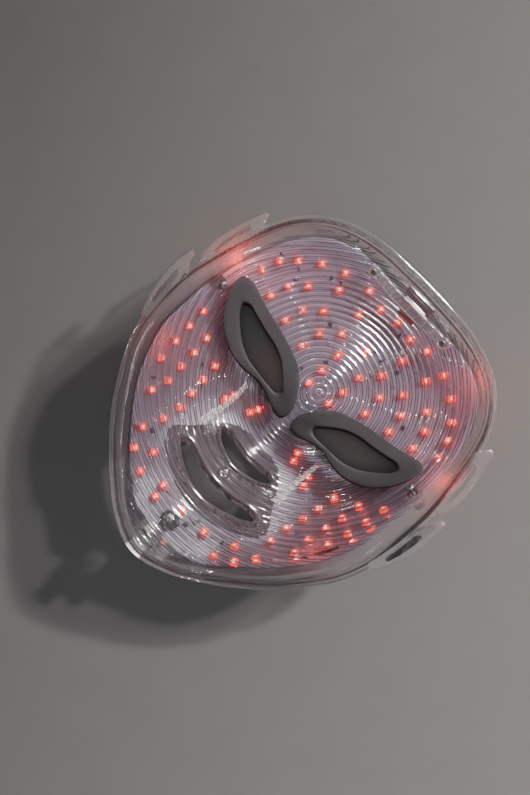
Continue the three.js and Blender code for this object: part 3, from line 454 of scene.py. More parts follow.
def prism(points, low=-60.0, high=90.0):
    return tool(skin([with_z(points, low), with_z(points, high)], capped=True))


def tidy(ob, sharp=None):
    bm = bmesh.new()
    bm.from_mesh(ob.data)
    bmesh.ops.remove_doubles(bm, verts=bm.verts, dist=1e-6)
    bmesh.ops.dissolve_degenerate(bm, edges=bm.edges, dist=1e-7)
    bmesh.ops.recalc_face_normals(bm, faces=bm.faces)
    bm.to_mesh(ob.data)
    bm.free()
    ob.data.polygons.foreach_set("use_smooth", [True] * len(ob.data.polygons))
    if sharp is not None:
        ob.data.set_sharp_from_angle(angle=math.radians(sharp))
    ob.data.update()


def boolean(ob, operation, *tools):
    for t in tools:
        materials = list(ob.data.materials)
        m = ob.modifiers.new("cut", "BOOLEAN")
        m.operation, m.solver, m.object = operation, "MANIFOLD", t
        bpy.context.view_layer.update()
        dg = bpy.context.evaluated_depsgraph_get()
        me = bpy.data.meshes.new_from_object(ob.evaluated_get(dg))
        ob.modifiers.clear()
        if len(me.polygons) == 0:  # a failed boolean leaves the piece and the tool alone
            bpy.data.meshes.remove(me)
            continue
        old = ob.data
        ob.data = me
        me.name = ob.name
        bpy.data.meshes.remove(old)
        me.materials.clear()
        for material in materials:
            me.materials.append(material)
        spent = t.data
        bpy.data.objects.remove(t)
        bpy.data.meshes.remove(spent)
    return ob


def read_vectors(items, key):
    flat = np.empty(len(items) * 3)
    items.foreach_get(key, flat)
    return flat.reshape(-1, 3)


def move_vertices(ob, points):
    ob.data.vertices.foreach_set("co", points.ravel())
    ob.data.update()


def paint_beyond(ob, material, table, margin):
    """A second material for the faces further out than the outline."""
    ob.data.materials.append(material)
    x, y, _ = from_frame(read_vectors(ob.data.polygons, "center")).T
    limit = radius_at(table, np.degrees(np.arctan2(x, y - OUTLINE_Y))) + margin
    beyond = np.hypot(x, y - OUTLINE_Y) > limit
    ob.data.polygons.foreach_set("material_index", beyond.astype(int))


# ---------------------------------------------------------------- materials
class Shader:
    """A material under construction."""

    def __init__(self, name):
        self.material = bpy.data.materials.new(name)
        self.material.use_nodes = True
        self.tree = self.material.node_tree
        self.tree.nodes.clear()
        self.out = self.tree.nodes.new("ShaderNodeOutputMaterial")

    def node(self, kind, inputs=None, **properties):
        """inputs: socket name or index -> a value, or a socket to link from."""
        made = self.tree.nodes.new("ShaderNode" + kind)
        for key, value in properties.items():
            setattr(made, key, value)
        for key, value in (inputs or {}).items():
            if isinstance(value, bpy.types.NodeSocket):
                self.tree.links.new(value, made.inputs[key])
            else:
                made.inputs[key].default_value = value
        return made

    def first(self, kind, inputs=None, **properties):
        return self.node(kind, inputs, **properties).outputs[0]

    def coords(self):
        return self.node("TexCoord").outputs["Object"]

    def math(self, operation, *values, **properties):
        return self.first("Math", dict(enumerate(values)), operation=operation, **properties)

    def remap(self, value, span, to=(0.0, 1.0), **properties):
        return self.first("MapRange", dict(enumerate((value, *span, *to))), **properties)

    def smoothstep(self, value, span, to):
        return self.remap(value, span, to, interpolation_type="SMOOTHSTEP")

    def noise(self, vector, scale, detail, **more):
        inputs = {"Vector": vector, "Scale": scale, "Detail": detail, **more}
        return self.node("TexNoise", inputs).outputs["Fac"]

    def bump(self, height, strength, distance):
        return self.first("Bump", {"Strength": strength, "Distance": distance, "Height": height})

    def mix_color(self, factor, a, b):
        return self.node("Mix", {0: factor, 6: a, 7: b}, data_type="RGBA").outputs[2]

    def mix_shader(self, factor, a, b):
        return self.first("MixShader", {0: factor, 1: a, 2: b})

    def length_xy(self, x, y):
        vector = self.first("CombineXYZ", {"X": x, "Y": y, "Z": 0.0})
        return self.node("VectorMath", {0: vector}, operation="LENGTH").outputs["Value"]

    def finish(self, surface):
        self.tree.links.new(surface, self.out.inputs[0])
        return self.material


def rgba(c):
    return (c[0], c[1], c[2], 1.0)


def plain(name, color_a, color_b, rough=0.5, scale=900.0, bump=0.02, metallic=0.0, coat=0.0,
          speck=None, specular=0.5, transmission=0.0, stretch=(1, 1, 1), fade=None):
    """Opaque material mottled between two colours; bump in mm. fade: (y span, brightness), painted
    light that scales the colour's brightness along y.
    """
    s = Shader(name)
    coords = s.coords()
    vector = s.first("Mapping", {"Vector": coords, "Scale": stretch})
    grain = s.noise(vector, scale, 4.0, Roughness=0.6)
    color = s.mix_color(grain, rgba(color_a), rgba(color_b))
    if speck:
        blotch = s.noise(vector, scale * 0.13, 2.0)
        color = s.mix_color(s.remap(blotch, (0.42, 0.62)), color, rgba(speck))
    # painted light: the colour is scaled from dim to bright along y
    if fade:
        y = s.node("SeparateXYZ", {"Vector": coords}).outputs[1]
        painted_light_level = s.smoothstep(y, *fade)
        color = s.first("VectorMath", {0: color, "Scale": painted_light_level}, operation="SCALE")
    roughness = s.remap(grain, (0.0, 1.0), (max(rough - 0.06, 0.02), rough + 0.06))
    relief = s.bump(grain, strength=0.35, distance=bump * 0.001)
    return s.finish(s.first("BsdfPrincipled", {
        "Base Color": color, "Roughness": roughness, "Metallic": metallic, "Normal": relief,
        "Coat Weight": coat, "Specular IOR Level": specular,
        "Transmission Weight": transmission}))


def add_painted_rib_shade(s, coords, fog, milk):
    """Adds painted shade on the rib flanks: more fog there, in a near-black colour."""
    mask = s.first("Mapping", {"Vector": coords, "Location": (0.0, ORIGIN_Y * 0.001, REST_Z * 0.001),
                               "Rotation": (-LEAN, 0.0, 0.0)}, vector_type="TEXTURE")
    x, y = s.node("SeparateXYZ", {"Vector": mask}).outputs[:2]
    phase = s.math("PINGPONG", s.length_xy(x, y), PITCH * 0.0005)
    # painted shade: fog and a near-black colour rise on each rib flank
    flank_gap = s.math("ABSOLUTE", s.math("SUBTRACT", phase, 0.00062))
    flank_shade_mask = s.smoothstep(flank_gap, (0.00005, 0.00033), (1.0, 0.0))
    painted_flank_shade = s.math("MULTIPLY", flank_shade_mask, 0.72)
    # the philtrum between nostrils and mouth is cloudier: an ellipse about y = -66.5 mm
    across = s.math("MULTIPLY", x, 1 / 0.041)
    along = s.math("MULTIPLY_ADD", y, 1 / 0.0275, 0.0665 / 0.0275)
    philtrum = s.smoothstep(s.length_xy(across, along), (0.78, 1.12), (0.10, 0.0))
    fog = s.math("ADD", s.math("ADD", fog, philtrum), painted_flank_shade, use_clamp=True)
    # the near-black flank colour is painted shade along the ribs
    return fog, s.mix_color(flank_shade_mask, rgba(milk), rgba((0.045, 0.032, 0.045)))


def clear(name, base, edge, milk, rough, tint=(0.97, 0.96, 0.97), scale=260.0, ribs=False,
          ior=1.47, bend=None):
    """Moulded clear plastic: see-through, glossy, a little milky, and whiter seen edge-on, partly
    from the longer path through the milk and partly a painted sheen for edge highlights.

    base, edge: milkiness face-on and added edge-on. bend: refraction index of a thin
    panel, which keeps its full surface gloss but bends little of what lies behind.
    """
    s = Shader(name)
    coords = s.coords()
    ripple = s.noise(coords, scale, 3.0)
    relief = s.bump(ripple, strength=0.12, distance=0.00006)
    facing = s.node("LayerWeight", {"Blend": 0.5, "Normal": relief}).outputs["Facing"]
    # painted sheen: the milk grows edge-on, standing in for edge highlights as well as the longer
    # path through the plastic
    milk_and_edge_sheen = s.remap(s.math("POWER", facing, 3.0), (0.0, 1.0), (base, base + edge))
    fog_node = s.node("Math", {0: milk_and_edge_sheen, 1: 1.0}, operation="MULTIPLY")
    unevenness = s.remap(ripple, (0.25, 0.75), (0.75, 1.25))
    s.tree.links.new(unevenness, fog_node.inputs[1])
    fog, milk_color = fog_node.outputs[0], rgba(milk)
    if ribs:
        # ribs: painted shade on the rib flanks
        fog, milk_color = add_painted_rib_shade(s, coords, fog, milk)
    if bend is None:
        glass = s.first("BsdfGlass", {"Color": rgba(tint), "Roughness": rough, "IOR": ior,
                                      "Normal": relief})
    else:
        fresnel = s.first("Fresnel", {"IOR": ior, "Normal": relief})
        backfacing = s.node("NewGeometry").outputs["Backfacing"]
        gloss = s.math("MULTIPLY", fresnel, s.math("SUBTRACT", 1.0, backfacing))
        refraction = s.first("BsdfRefraction", {"Color": rgba(tint), "Roughness": 0.0,
                                                "IOR": bend, "Normal": relief})
        sheen = s.first("BsdfGlossy", {"Color": rgba((0.95, 0.95, 0.95)), "Roughness": rough,
                                       "Normal": relief})
        glass = s.mix_shader(gloss, refraction, sheen)
    diffuse = s.first("BsdfDiffuse", {"Color": milk_color, "Normal": relief})
    translucent = s.first("BsdfTranslucent", {"Color": milk_color, "Normal": relief})
    surface = s.mix_shader(fog, glass, s.mix_shader(0.5, diffuse, translucent))
    # shadow and diffuse rays pass straight through
    path = s.node("LightPath").outputs
    passing = s.first("BsdfTransparent", {"Color": rgba((0.76, 0.75, 0.76))})
    through = s.math("MAXIMUM", path["Is Shadow Ray"], path["Is Diffuse Ray"])
    return s.finish(s.mix_shader(through, surface, passing))


def lamp(name, color, strength, ray_strength, dip=0.35):
    """Glowing LED resin: one strength as seen by the camera, another as a light."""
    s = Shader(name)
    grain = s.noise(s.coords(), 1400.0, 2.0)
    tone = s.mix_color(grain, rgba([v * (1 - dip) for v in color]), rgba(color))
    path = s.node("LightPath").outputs
    seen = s.math("MAXIMUM", path["Is Camera Ray"], path["Is Transmission Ray"])
    power = s.remap(seen, (0.0, 1.0), (ray_strength, strength))
    glow = s.first("Emission", {"Color": tone, "Strength": power})
    gloss = s.first("BsdfGlossy", {"Color": rgba((0.8, 0.7, 0.7)), "Roughness": 0.2})
    return s.finish(s.mix_shader(0.08, glow, gloss))


SHELL_CLEAR = clear("shell_clear_plastic", base=0.065, edge=0.34, milk=(0.66, 0.61, 0.62),
                    rough=0.04, ior=1.45, bend=1.24)
HOOK_CLEAR = clear("hook_clear_plastic", base=0.13, edge=0.45, milk=(0.74, 0.72, 0.73),
                   rough=0.05, ior=1.48, bend=1.24)
# ribs=True paints shade on the rib flanks
LENS_CLEAR = clear("lens_clear_plastic", base=0.022, edge=0.13, milk=(0.60, 0.56, 0.62),
                   ribs=True, rough=0.075, bend=1.16)
RIM_CLEAR = clear("rim_clear_plastic", base=0.11, edge=0.24, milk=(0.68, 0.59, 0.61),
                  rough=0.04, bend=1.20)
# near-white milk: painted highlight for the glints along the nose crease
CREASE_PAINTED_HIGHLIGHT = clear("crease_painted_highlight", base=0.85, edge=0.15, milk=(0.98, 0.97, 0.98),
                     rough=0.05)
BAR_FROSTED = clear("bar_frosted_plastic", base=0.38, edge=0.35, milk=(0.52, 0.52, 0.53),
                    rough=0.22, scale=700.0)
LATCH_SMOKED = clear("latch_smoked_plastic", base=0.22, edge=0.25, milk=(0.26, 0.23, 0.23),
                     tint=(0.86, 0.82, 0.82), rough=0.12, scale=700.0)
# painted light: the laminate is darker towards the chin and brighter towards the forehead, as lit
# from the forehead side
LAMINATE = plain("board_laminate", (0.180, 0.166, 0.226), (0.225, 0.207, 0.272), rough=0.40,
                 scale=420.0, bump=0.015, speck=(0.21, 0.19, 0.25),
                 fade=((-0.045, 0.045), (0.60, 1.27)))
TRACES = plain("board_traces", (0.17, 0.14, 0.18), (0.21, 0.17, 0.21), rough=0.4)
LED_BASE = plain("led_base", (0.62, 0.48, 0.47), (0.50, 0.36, 0.36), scale=1200.0)
LED_RED = lamp("led_red", (1.0, 0.020, 0.008), strength=2.6, ray_strength=7.2)
LED_CORE = lamp("led_core", (1.0, 0.34, 0.27), strength=6.5, ray_strength=5.0, dip=0.12)
RESISTOR_BLACK = plain("resistor_black", (0.006, 0.006, 0.006), (0.016, 0.015, 0.015),
                       scale=1600.0, specular=0.15)
SILICONE = plain("silicone_grey", (0.036, 0.034, 0.038), (0.046, 0.044, 0.048), rough=0.7,
                 scale=1500.0, specular=0.06)
STEEL = plain("steel_plated", (0.10, 0.10, 0.105), (0.18, 0.18, 0.19), rough=0.30,
              scale=1300.0, metallic=1.0, stretch=(1, 4, 1))
SCREW = plain("screw_dulled", (0.055, 0.053, 0.055), (0.10, 0.098, 0.10), rough=0.45,
              scale=1300.0, metallic=0.2, specular=0.25)
BLACK = plain("plastic_black", (0.012, 0.012, 0.013), (0.035, 0.034, 0.035), rough=0.4,
              scale=1200.0)
SOLDER_MASK = plain("solder_mask", (0.030, 0.034, 0.032), (0.07, 0.07, 0.068), rough=0.42,
                    scale=700.0, speck=(0.12, 0.11, 0.10))
NYLON = plain("nylon_cream", (0.72, 0.66, 0.52), (0.62, 0.56, 0.43), rough=0.48, scale=1100.0)
COPPER = plain("copper_winding", (0.62, 0.30, 0.16), (0.42, 0.17, 0.09), rough=0.35,
               scale=2500.0, metallic=0.7, stretch=(1, 1, 7))
SWITCH = plain("switch_plastic", (0.36, 0.36, 0.37), (0.27, 0.27, 0.28), rough=0.25,
               scale=600.0, coat=0.4, transmission=0.15)
FOIL = plain("foil_pouch", (0.42, 0.42, 0.44), (0.62, 0.62, 0.64), rough=0.35, scale=300.0,
             metallic=0.8, bump=0.2)
WIRE = plain("wire_red", (0.42, 0.02, 0.018), (0.30, 0.012, 0.012), rough=0.35, scale=1500.0)
TAB = plain("tab_red_brown", (0.22, 0.055, 0.035), (0.14, 0.03, 0.02), rough=0.3, coat=0.3)

# ---------------------------------------------------------------- outer shell
RIM_ANGLES = np.linspace(0, 360, 240, endpoint=False)
SHARES = list(np.linspace(0.06, 1.0, 18))  # of the way from the outline centre to the edge


def ring(table, share, distance, inset=0.0):
    x, y = outline(table, RIM_ANGLES, inset)
    return off_face(x * share, OUTLINE_Y + (y - OUTLINE_Y) * share, distance)


def wall_ring(distance, inset, drop, t, bulge=1.2, angles=RIM_ANGLES):
    """Ring a share t of the way up the rim wall, from a layer's edge to below the rim top."""
    edge = off_face(*outline(EDGE_RADIUS, angles), distance)
    rim = np.stack([*outline(RIM_RADIUS, angles, inset), radius_at(RIM_HEIGHT, angles) - drop], -1)
    k = 4 * t * (1 - t) * bulge
    a = np.radians(angles)
    bow = np.stack([np.sin(a) * k, np.cos(a) * k, np.full(a.shape, -0.4 * k)], -1)
    return edge + (rim - edge) * t + bow


eye_hole = loop([(x, y - CHEEK_BOW.get(x, 0.0)) for x, y in EYE_HOLE], 96)
cup_edge = loop(CUP_EDGE, 96)
mouth, nostrils, nose_cut = loop(MOUTH, 84), loop(NOSTRILS, 72), loop(NOSE_CUTOUT, 72)


def eye_cuts(gap):
    return [prism(grow(eye_hole, gap)), prism(flip_x(grow(eye_hole, gap)))]


def opening_cuts(eye_gap, gap):
    return eye_cuts(eye_gap) + [prism(grow(mouth, gap)), prism(grow(nostrils, gap))]


# rolled edge of the rim: outward step, drop below the rim height
ROLLED_EDGE = [(0.1, 2.6), (0.9, 2.2), (1.7, 1.7), (2.0, 1.1), (1.95, 0.5), (1.6, 0.12),
               (1.1, 0.0), (-1.6, 0.0), (-2.05, 0.15)]
rings = [ring(EDGE_RADIUS, u, SHELL_OUT) for u in SHARES]
rings += [wall_ring(SHELL_OUT, 0, 0, t) for t in np.linspace(0.08, 0.92, 11)]
rings += [wall_ring(SHELL_OUT, -out, drop, 1, 0) for out, drop in ROLLED_EDGE]
rings += [wall_ring(SHELL_IN, WALL, 0.4, t) for t in np.linspace(0.99, 0.08, 11)]
rings += [ring(EDGE_RADIUS, u, SHELL_IN) for u in SHARES[::-1]]
shell = make("shell_clear", skin(rings, first=off_face(0.0, OUTLINE_Y, SHELL_OUT),
                                 last=off_face(0.0, OUTLINE_Y, SHELL_IN)),
             SHELL_CLEAR, body="mask")

# rounded section of a strap hook, lower half: outline growth, z
HOOK_SECTION = [(-0.95, -1.5), (-0.4, -1.36), (-0.08, -1.0), (0, -0.5)]


def hook(points, slot, start, end, side):
    """Strap hook, cut flat, then sloped between two (y, z) stations to follow the rim."""
    points = rounded(points, 2.2, 4)
    section = HOOK_SECTION + [(g, -z) for g, z in HOOK_SECTION[::-1]]
    verts, faces = skin([with_z(grow(points, g), z) for g, z in section], capped=True)
    fin = tool((verts * 0.001, faces), in_frame=True)
    cut = prism(rounded(slot, 0.9, 4), -5, 5)
    # the prism is made leaned: bring it back flat
    move_vertices(cut, from_frame(read_vectors(cut.data.vertices, "co")) * 0.001)
    boolean(fin, "DIFFERENCE", cut)
    points = read_vectors(fin.data.vertices, "co") * 1000
    (y0, z0), (y1, z1) = start, end
    points[:, 2] += z0 + (z1 - z0) * (points[:, 1] - y0) / (y1 - y0)
    points[:, 0] *= side
    if side < 0:
        fin.data.flip_normals()
    move_vertices(fin, to_frame(points))
    return fin


hooks = []
for side in (1, -1):
    hooks.append(hook(HOOK_UPPER, SLOT_UPPER, (-3, 32.2), (38, 37.6), side))
    hooks.append(hook(HOOK_LOWER, SLOT_LOWER, (-46, 30.2), (-5, 37.8), side))
boolean(shell, "UNION", *hooks)

posts = []
for _, x, y, r, _ in MID_SCREWS:
    low, high = float(layer_z(x, y, SHELL_OUT)) + 1.0, float(layer_z(x, y, LENS_LOW)) - 1.7
    post = lathe([(0, low), (r + 1.2, low), (r + 0.5, low + 1.8), (r, low + 3),
                  (r, high - 0.4), (r - 0.4, high), (0, high)], 40)
    posts.append(tool(shift(post, x, y, 0)))
temple_post = lathe([(0, -7.1), (3.6, -7.1), (3.2, -5), (3.2, 2.7), (2.8, 3.1), (0, 3.1)], 36)
for side in (1, -1):
    posts.append(tool(on_face(temple_post, side * TEMPLE_X, TEMPLE_Y)))
boolean(shell, "UNION", *posts)

# the openings, then a notch and a round hole at the chin
boolean(shell, "DIFFERENCE", *opening_cuts(3.6, 0.2),
        tool(shift(block(9.8, 12, 4.0, 0.9, 4), 0, -126, 6.6)),
        tool(shift(cylinder(3.9, -60, 1.9, 48), 10.5, -118.4, 0)))
# nothing reaches below the floor
corners = [(-0.2, -0.2), (0.2, -0.2), (0.2, 0.2), (-0.2, 0.2)]
below = tool((np.array([[x, y, z] for z in (-0.03, 0.0) for x, y in corners]),
              [[3, 2, 1, 0], [4, 5, 6, 7], [0, 1, 5, 4], [1, 2, 6, 5], [2, 3, 7, 6],
               [3, 0, 4, 7]]), in_frame=True)
boolean(shell, "DIFFERENCE", below)
tidy(shell, 40)
paint_beyond(shell, HOOK_CLEAR, RIM_RADIUS, 0.4)  # the hooks read whiter
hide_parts("outer_shell")

# ---------------------------------------------------------------- ribbed inner lens
# Rays leave the rib centre. For each: how far the edge is, and the edge point's angle
# about the outline centre, so that the wall meets the ribs point for point.
RAYS = np.linspace(0, 360, 300, endpoint=False)
edge_angle = np.linspace(0, 360, 1440, endpoint=False)
edge_x, edge_y = outline(EDGE_RADIUS, edge_angle)
edge_ray = np.degrees(np.arctan2(edge_x, edge_y)) % 360
order = np.argsort(edge_ray)
reach = np.interp(RAYS, edge_ray[order], np.hypot(edge_x, edge_y)[order], period=360)
turn = ((edge_angle - edge_ray + 180) % 360 - 180)[order]
wall_angles = RAYS + np.interp(RAYS, edge_ray[order], turn, period=360)
ray_sin, ray_cos = np.sin(np.radians(RAYS)), np.cos(np.radians(RAYS))

# one groove and rib: distance from the pitch circle, rise
RIB_PROFILE = [(-0.82, 0.0), (-0.42, -0.55), (0.42, -0.55), (0.82, 0.0), (1.25, 0.22), (1.95, 0.22)]
CREASE_X, CREASE_Y = (30.5, 28.0), (-25, -58)  # between nose and cheek, brow end to chin end


def lens_top_rings():
    stations = [(0.8, 0.1)]
    stations += [(k * PITCH + out, rise) for k in range(1, 48) for out, rise in RIB_PROFILE]
    radii, rise = np.array(stations).T
    keep = radii < reach.max() + 0.1
    radii, rise = radii[keep], rise[keep]
    r = np.minimum(radii[:, None], reach[None, :])
    x, y = r * ray_sin[None, :], r * ray_cos[None, :]
    edge_gap = reach[None, :] - radii[:, None]
    # ribs die out towards the edge and the openings
    fade = np.clip(edge_gap / 2.0, 0, 1)
    fade *= (np.clip((loop_distance(x, y, mouth) - 3.4) / 3.0, 0, 1)
             * np.clip((loop_distance(x, y, nostrils) - 2.2) / 2.5, 0, 1))
    crease = [segment_distance(x, y, *zip([side * c for c in CREASE_X], CREASE_Y))
              for side in (1, -1)]
    height = rise[:, None] * fade + 1.0 * np.clip(1 - np.minimum(*crease) / 1.5, 0, 1)
    return off_face(x, y, LENS_HIGH + np.where(edge_gap <= 0, 0.0, height))


def lens_wall(distance, inset, drop, t, bulge=1.2):
    return wall_ring(distance, WALL + inset, drop, t, bulge, angles=wall_angles)


rings = [off_face(reach * u * ray_sin, reach * u * ray_cos, LENS_LOW)
         for u in np.linspace(0.05, 1.0, 22)]
rings += [lens_wall(LENS_LOW, 0.6, 1.0, t) for t in np.linspace(0.12, 0.97, 8)]
rings += [lens_wall(LENS_HIGH, inset, 0.75, 1, 0) for inset in (0.9, 2.3)]
rings += [lens_wall(LENS_HIGH, 2.6, 1.0, t) for t in np.linspace(0.97, 0.12, 8)]
rings += list(lens_top_rings()[::-1])
lens = make("lens_ribbed", skin(rings, first=off_face(0.0, 0.0, LENS_LOW),
                                last=off_face(0.0, 0.0, LENS_HIGH)),
            LENS_CLEAR, body="mask")
boolean(lens, "DIFFERENCE", *opening_cuts(2.6, 1))


def collar(points, wide, neck, top):
    """A lip round an opening with a neck down to the outer shell."""
    profile = [(wide, LENS_LOW - 0.4), (wide, LENS_HIGH + 0.5), (wide * 0.86, top - 0.5),
               (wide * 0.62, top), (wide * 0.36, top), (wide * 0.12, top - 0.4),
               (0.0, top - 1.1), (0.0, 2.0), (0.0, SHELL_IN + 2.3), (neck, SHELL_IN + 2.3),
               (neck, LENS_LOW - 0.9), (neck + 0.4, LENS_LOW - 0.4)]
    return tool(skin([on_layer(grow(points, out, 1), d) for out, d in profile], closed=True))


def lens_top(x, y, head):
    """Highest point of the lens under a screw head."""
    rim = np.array([x, y]) + head * circle(12)
    return float(layer_z(rim[:, 0], rim[:, 1], LENS_HIGH).max())


def boss(x, y, head):
    z = lens_top(x, y, head)
    inner, outer = head * 0.62 + 0.7, head + 1.1
    profile = [(outer, z - 2.2), (outer, z + 0.9), (outer - 0.3, z + 1.3),
               (inner + 0.3, z + 1.3), (inner, z + 0.9), (inner, z - 2.2)]
    return tool(skin([with_z(np.array([x, y]) + r * circle(40), h) for r, h in profile],
                     closed=True))


boolean(lens, "UNION", collar(mouth, 3.6, 1.8, LENS_HIGH + 2.0),
        collar(nostrils, 2.4, 1.6, LENS_HIGH + 1.4),
        *[boss(x, y, head) for _, x, y, _, head in MID_SCREWS])
tidy(lens, 55)
paint_beyond(lens, RIM_CLEAR, EDGE_RADIUS, -0.3)  # the rim wall has no ribs
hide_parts("inner_lens")

# short near-white facets where the ribs fold over the crease between nose and cheek: painted
# highlights for the glints along the crease
highlight_strokes = []
for side in (1, -1):
    for k in range(25):
        t = k / 24
        facet = block(3.9 - 0.5 * (k % 2), 0.6, 0.8, 0.22, 3)
        lean = math.radians(side * (24 + (k % 3) * 9))
        highlight_strokes.append(on_face(facet, side * (30.8 - 2.8 * t), -25 - 33 * t,
                               (0, 0, 0), turn_z(lean) @ turn_x(0.5)))
        axes, _ = face_axes(side * (30.8 - 2.8 * t), -25 - 33 * t)
        highlight_strokes[-1] = shift(highlight_strokes[-1], *(axes[:, 2] * (LENS_HIGH + 0.25)))
make("lens_crease", gather(highlight_strokes), CREASE_PAINTED_HIGHLIGHT, body="mask", sharp=35)

# ---------------------------------------------------------------- LED board
rings = [ring(BOARD_RADIUS, u, -0.8) for u in SHARES] + [ring(BOARD_RADIUS, 1.0, -0.12)]
rings += [ring(BOARD_RADIUS, 1.0, 0.0, inset=0.12)]
rings += [ring(BOARD_RADIUS, u, 0.0) for u in SHARES[-2::-1]]
board = make("board_flex", skin(rings, first=off_face(0.0, OUTLINE_Y, -0.8),
                                last=off_face(0.0, OUTLINE_Y, 0.0)),
             LAMINATE, body="mask")
cuts = eye_cuts(4.2) + [prism(nose_cut)]
for _, x, y, r, _ in MID_SCREWS:
    cuts.append(tool(shift(cylinder(r + 1.2, -60, 60, 36), x, y, 0)))
for side in (1, -1):
    cuts.append(tool(on_face(cylinder(4.4, -6, 6, 30), side * TEMPLE_X, TEMPLE_Y)))
cuts.append(tool(shift(block(36, 24, 120, 1.0, 3), 2, -124.6, 0)))  # chin notch
boolean(board, "DIFFERENCE", *cuts)
tidy(board, 40)
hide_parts("led_board")

# ---------------------------------------------------------------- LED strings
EIGHTH_TURN = np.array([[0.7071, -0.7071, 0], [0.7071, 0.7071, 0], [0, 0, 1]])


def trace(start, end):
    """Flat conductor on the board between two LEDs."""
    run = np.subtract(end, start)
    length = np.hypot(*run)
    t = np.linspace(0, 1, max(2, int(length / 2.0)) + 1)
    x, y = start[0] + run[0] * t, start[1] + run[1] * t
    along_x, along_y = run / length
    section = ((-0.45, 0.02), (0.45, 0.02), (0.40, 0.14), (-0.40, 0.14))  # sideways, up
    corners = [off_face(x - along_y * s, y + along_x * s, d) for s, d in section]
    return skin(np.stack(corners, 1), capped=True)


def led_string(node, points):
    """LEDs and traces; each part carries its slot: base, resin, bright die, metal."""
    parts = []
    for x, y in points:
        parts.append((on_face(block(2.6, 2.0, 1.5, 0.2, 2), x, y, (0, 0, 0.72)), 0))
        parts.append((on_face(block(4.1, 3.8, 1.2, 0.5, 4), x, y, (0, 0, 2.05), EIGHTH_TURN), 1))
        for s in (-1, 1):  # two bright dice under the resin
            die = block(1.6, 0.6, 0.26, 0.12, 2)
            parts.append((on_face(die, x, y, (0, 0.52 * s, 2.70), EIGHTH_TURN), 2))
        for s in (-1, 1):
            parts.append((on_face(block(0.5, 1.9, 0.5, 0.1, 2), x, y, (s * 1.75, 0, 0.3)), 3))
    parts += [(trace(a, b), 3) for a, b in zip(points, points[1:])]
    slots = [slot for form, slot in parts for _ in form[1]]
    ob = make("lights_" + node[4:], gather([form for form, _ in parts]),
              LED_BASE, LED_RED, LED_CORE, TRACES, body="mask", sharp=35)
    if len(ob.data.polygons) == len(slots):  # only fits if tidying merged no faces
        ob.data.polygons.foreach_set("material_index", slots)
    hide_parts(node)


def mirrored(points):
    return [(-x, y) for x, y in points]


for key, points in LED_ARCS.items():
    half = points[1:] if points[0][0] == 0 else points
    led_string("led_arc_" + key, mirrored(points)[::-1] + half)
for key, points in LED_ROWS.items():
    led_string("led_row_%s_right" % key, points)
    extra = [LEFT_JAW_EXTRA] if key == "jaw" else []
    led_string("led_row_%s_left" % key, extra + mirrored(points))

chips = [on_face(block(2.6, 1.5, 0.6, 0.1, 2), x, y, (0, 0, 0.33),
                 turn_z(math.radians((k * 53) % 180)))
         for k, (x, y) in enumerate(RESISTORS)]
make("board_resistors", gather(chips), RESISTOR_BLACK, body="mask", sharp=35)

# ---------------------------------------------------------------- silicone eye cups
inner = match(cup_edge, eye_hole)
tangent = np.roll(inner, -2, 0) - np.roll(inner, 2, 0)
outward_y = -tangent[:, 0] / np.linalg.norm(tangent, axis=1)
brow = np.clip((outward_y + 0.35) / 0.9, 0, 1)
brow = brow * brow * (3 - 2 * brow)  # 1 on the forehead side of the opening, 0 on the cheek side
for _ in range(4):
    brow = 0.5 * brow + 0.25 * (np.roll(brow, 1) + np.roll(brow, -1))

# share of the way from cup edge to opening, height over the lens at forehead and cheek side
CUP_PROFILE = [(0.0, 0.9, 0.9), (0.0, 3.5, 3.2), (0.004, 3.95, 3.65), (0.014, 4.25, 3.95),
               (0.035, 4.4, 4.1), (0.3, 4.45, 4.2), (0.6, 4.45, 4.2), (0.8, 4.45, 4.1),
               (0.92, 4.45, 3.8), (0.975, 4.4, 3.4), (1.0, 4.15, 2.8), (1.0, 0.8, -0.2)]
rings = [on_layer(cup_edge * (1 - t) + inner * t, LENS_HIGH, high * brow + low * (1 - brow))
         for t, high, low in CUP_PROFILE]
under = grow(inner, 1.7)
rings += [on_layer(inner, 5.5), on_layer(inner, 4.9), on_layer(under, 4.9),
          on_layer(under, 5.6), on_layer(under, LENS_HIGH, 0.9)]
verts, faces = skin(rings, closed=True)
flipped = verts * np.array([-1, 1, 1]), [f[::-1] for f in faces]
for side, form in (("right", (verts, faces)), ("left", flipped)):
    cup = make("cup_soft_" + side, form, SILICONE, body="cup_" + side, sharp=38)
    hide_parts("eye_cup_" + side)

# ---------------------------------------------------------------- forehead clip
CLIP_REACH, CLIP_Y, CLIP_HALF, CLIP_LOW, CLIP_HIGH = 31.4, 68.2, 2.9, 7.2, 10.6
CLIP_LINKS = 10
CLIP_SCREW_X = 28.2


def clip_y(x):
    return CLIP_Y - x * x / 1500


middle, half_height = (CLIP_LOW + CLIP_HIGH) / 2, (CLIP_HIGH - CLIP_LOW) / 2
clip_section = rounded([[-CLIP_HALF, -half_height], [CLIP_HALF, -half_height],
                        [CLIP_HALF, half_height], [-CLIP_HALF, half_height]], 1.1, 3)
rings = []
for k in range(CLIP_LINKS):
    a = -CLIP_REACH + 2 * CLIP_REACH * k / CLIP_LINKS
    b = -CLIP_REACH + 2 * CLIP_REACH * (k + 1) / CLIP_LINKS
    for x, scale in ((a + 0.02, 0.80), (a + 0.35, 0.98), (a + 0.8, 1.0), (b - 0.8, 1.0),
                     (b - 0.35, 0.98), (b - 0.02, 0.80)):
        section = clip_section * scale
        rings.append(off_face(np.full(len(section), x), clip_y(x) + section[:, 0],
                              middle + section[:, 1]))
bar = make("bar_frosted", skin(rings, capped=True), BAR_FROSTED, body="mask")
bar_end = lathe([(0, 7.4), (3.1, 7.4), (3.3, 7.7), (3.3, 10.6), (2.9, 11.0), (0, 11.0)], 36)
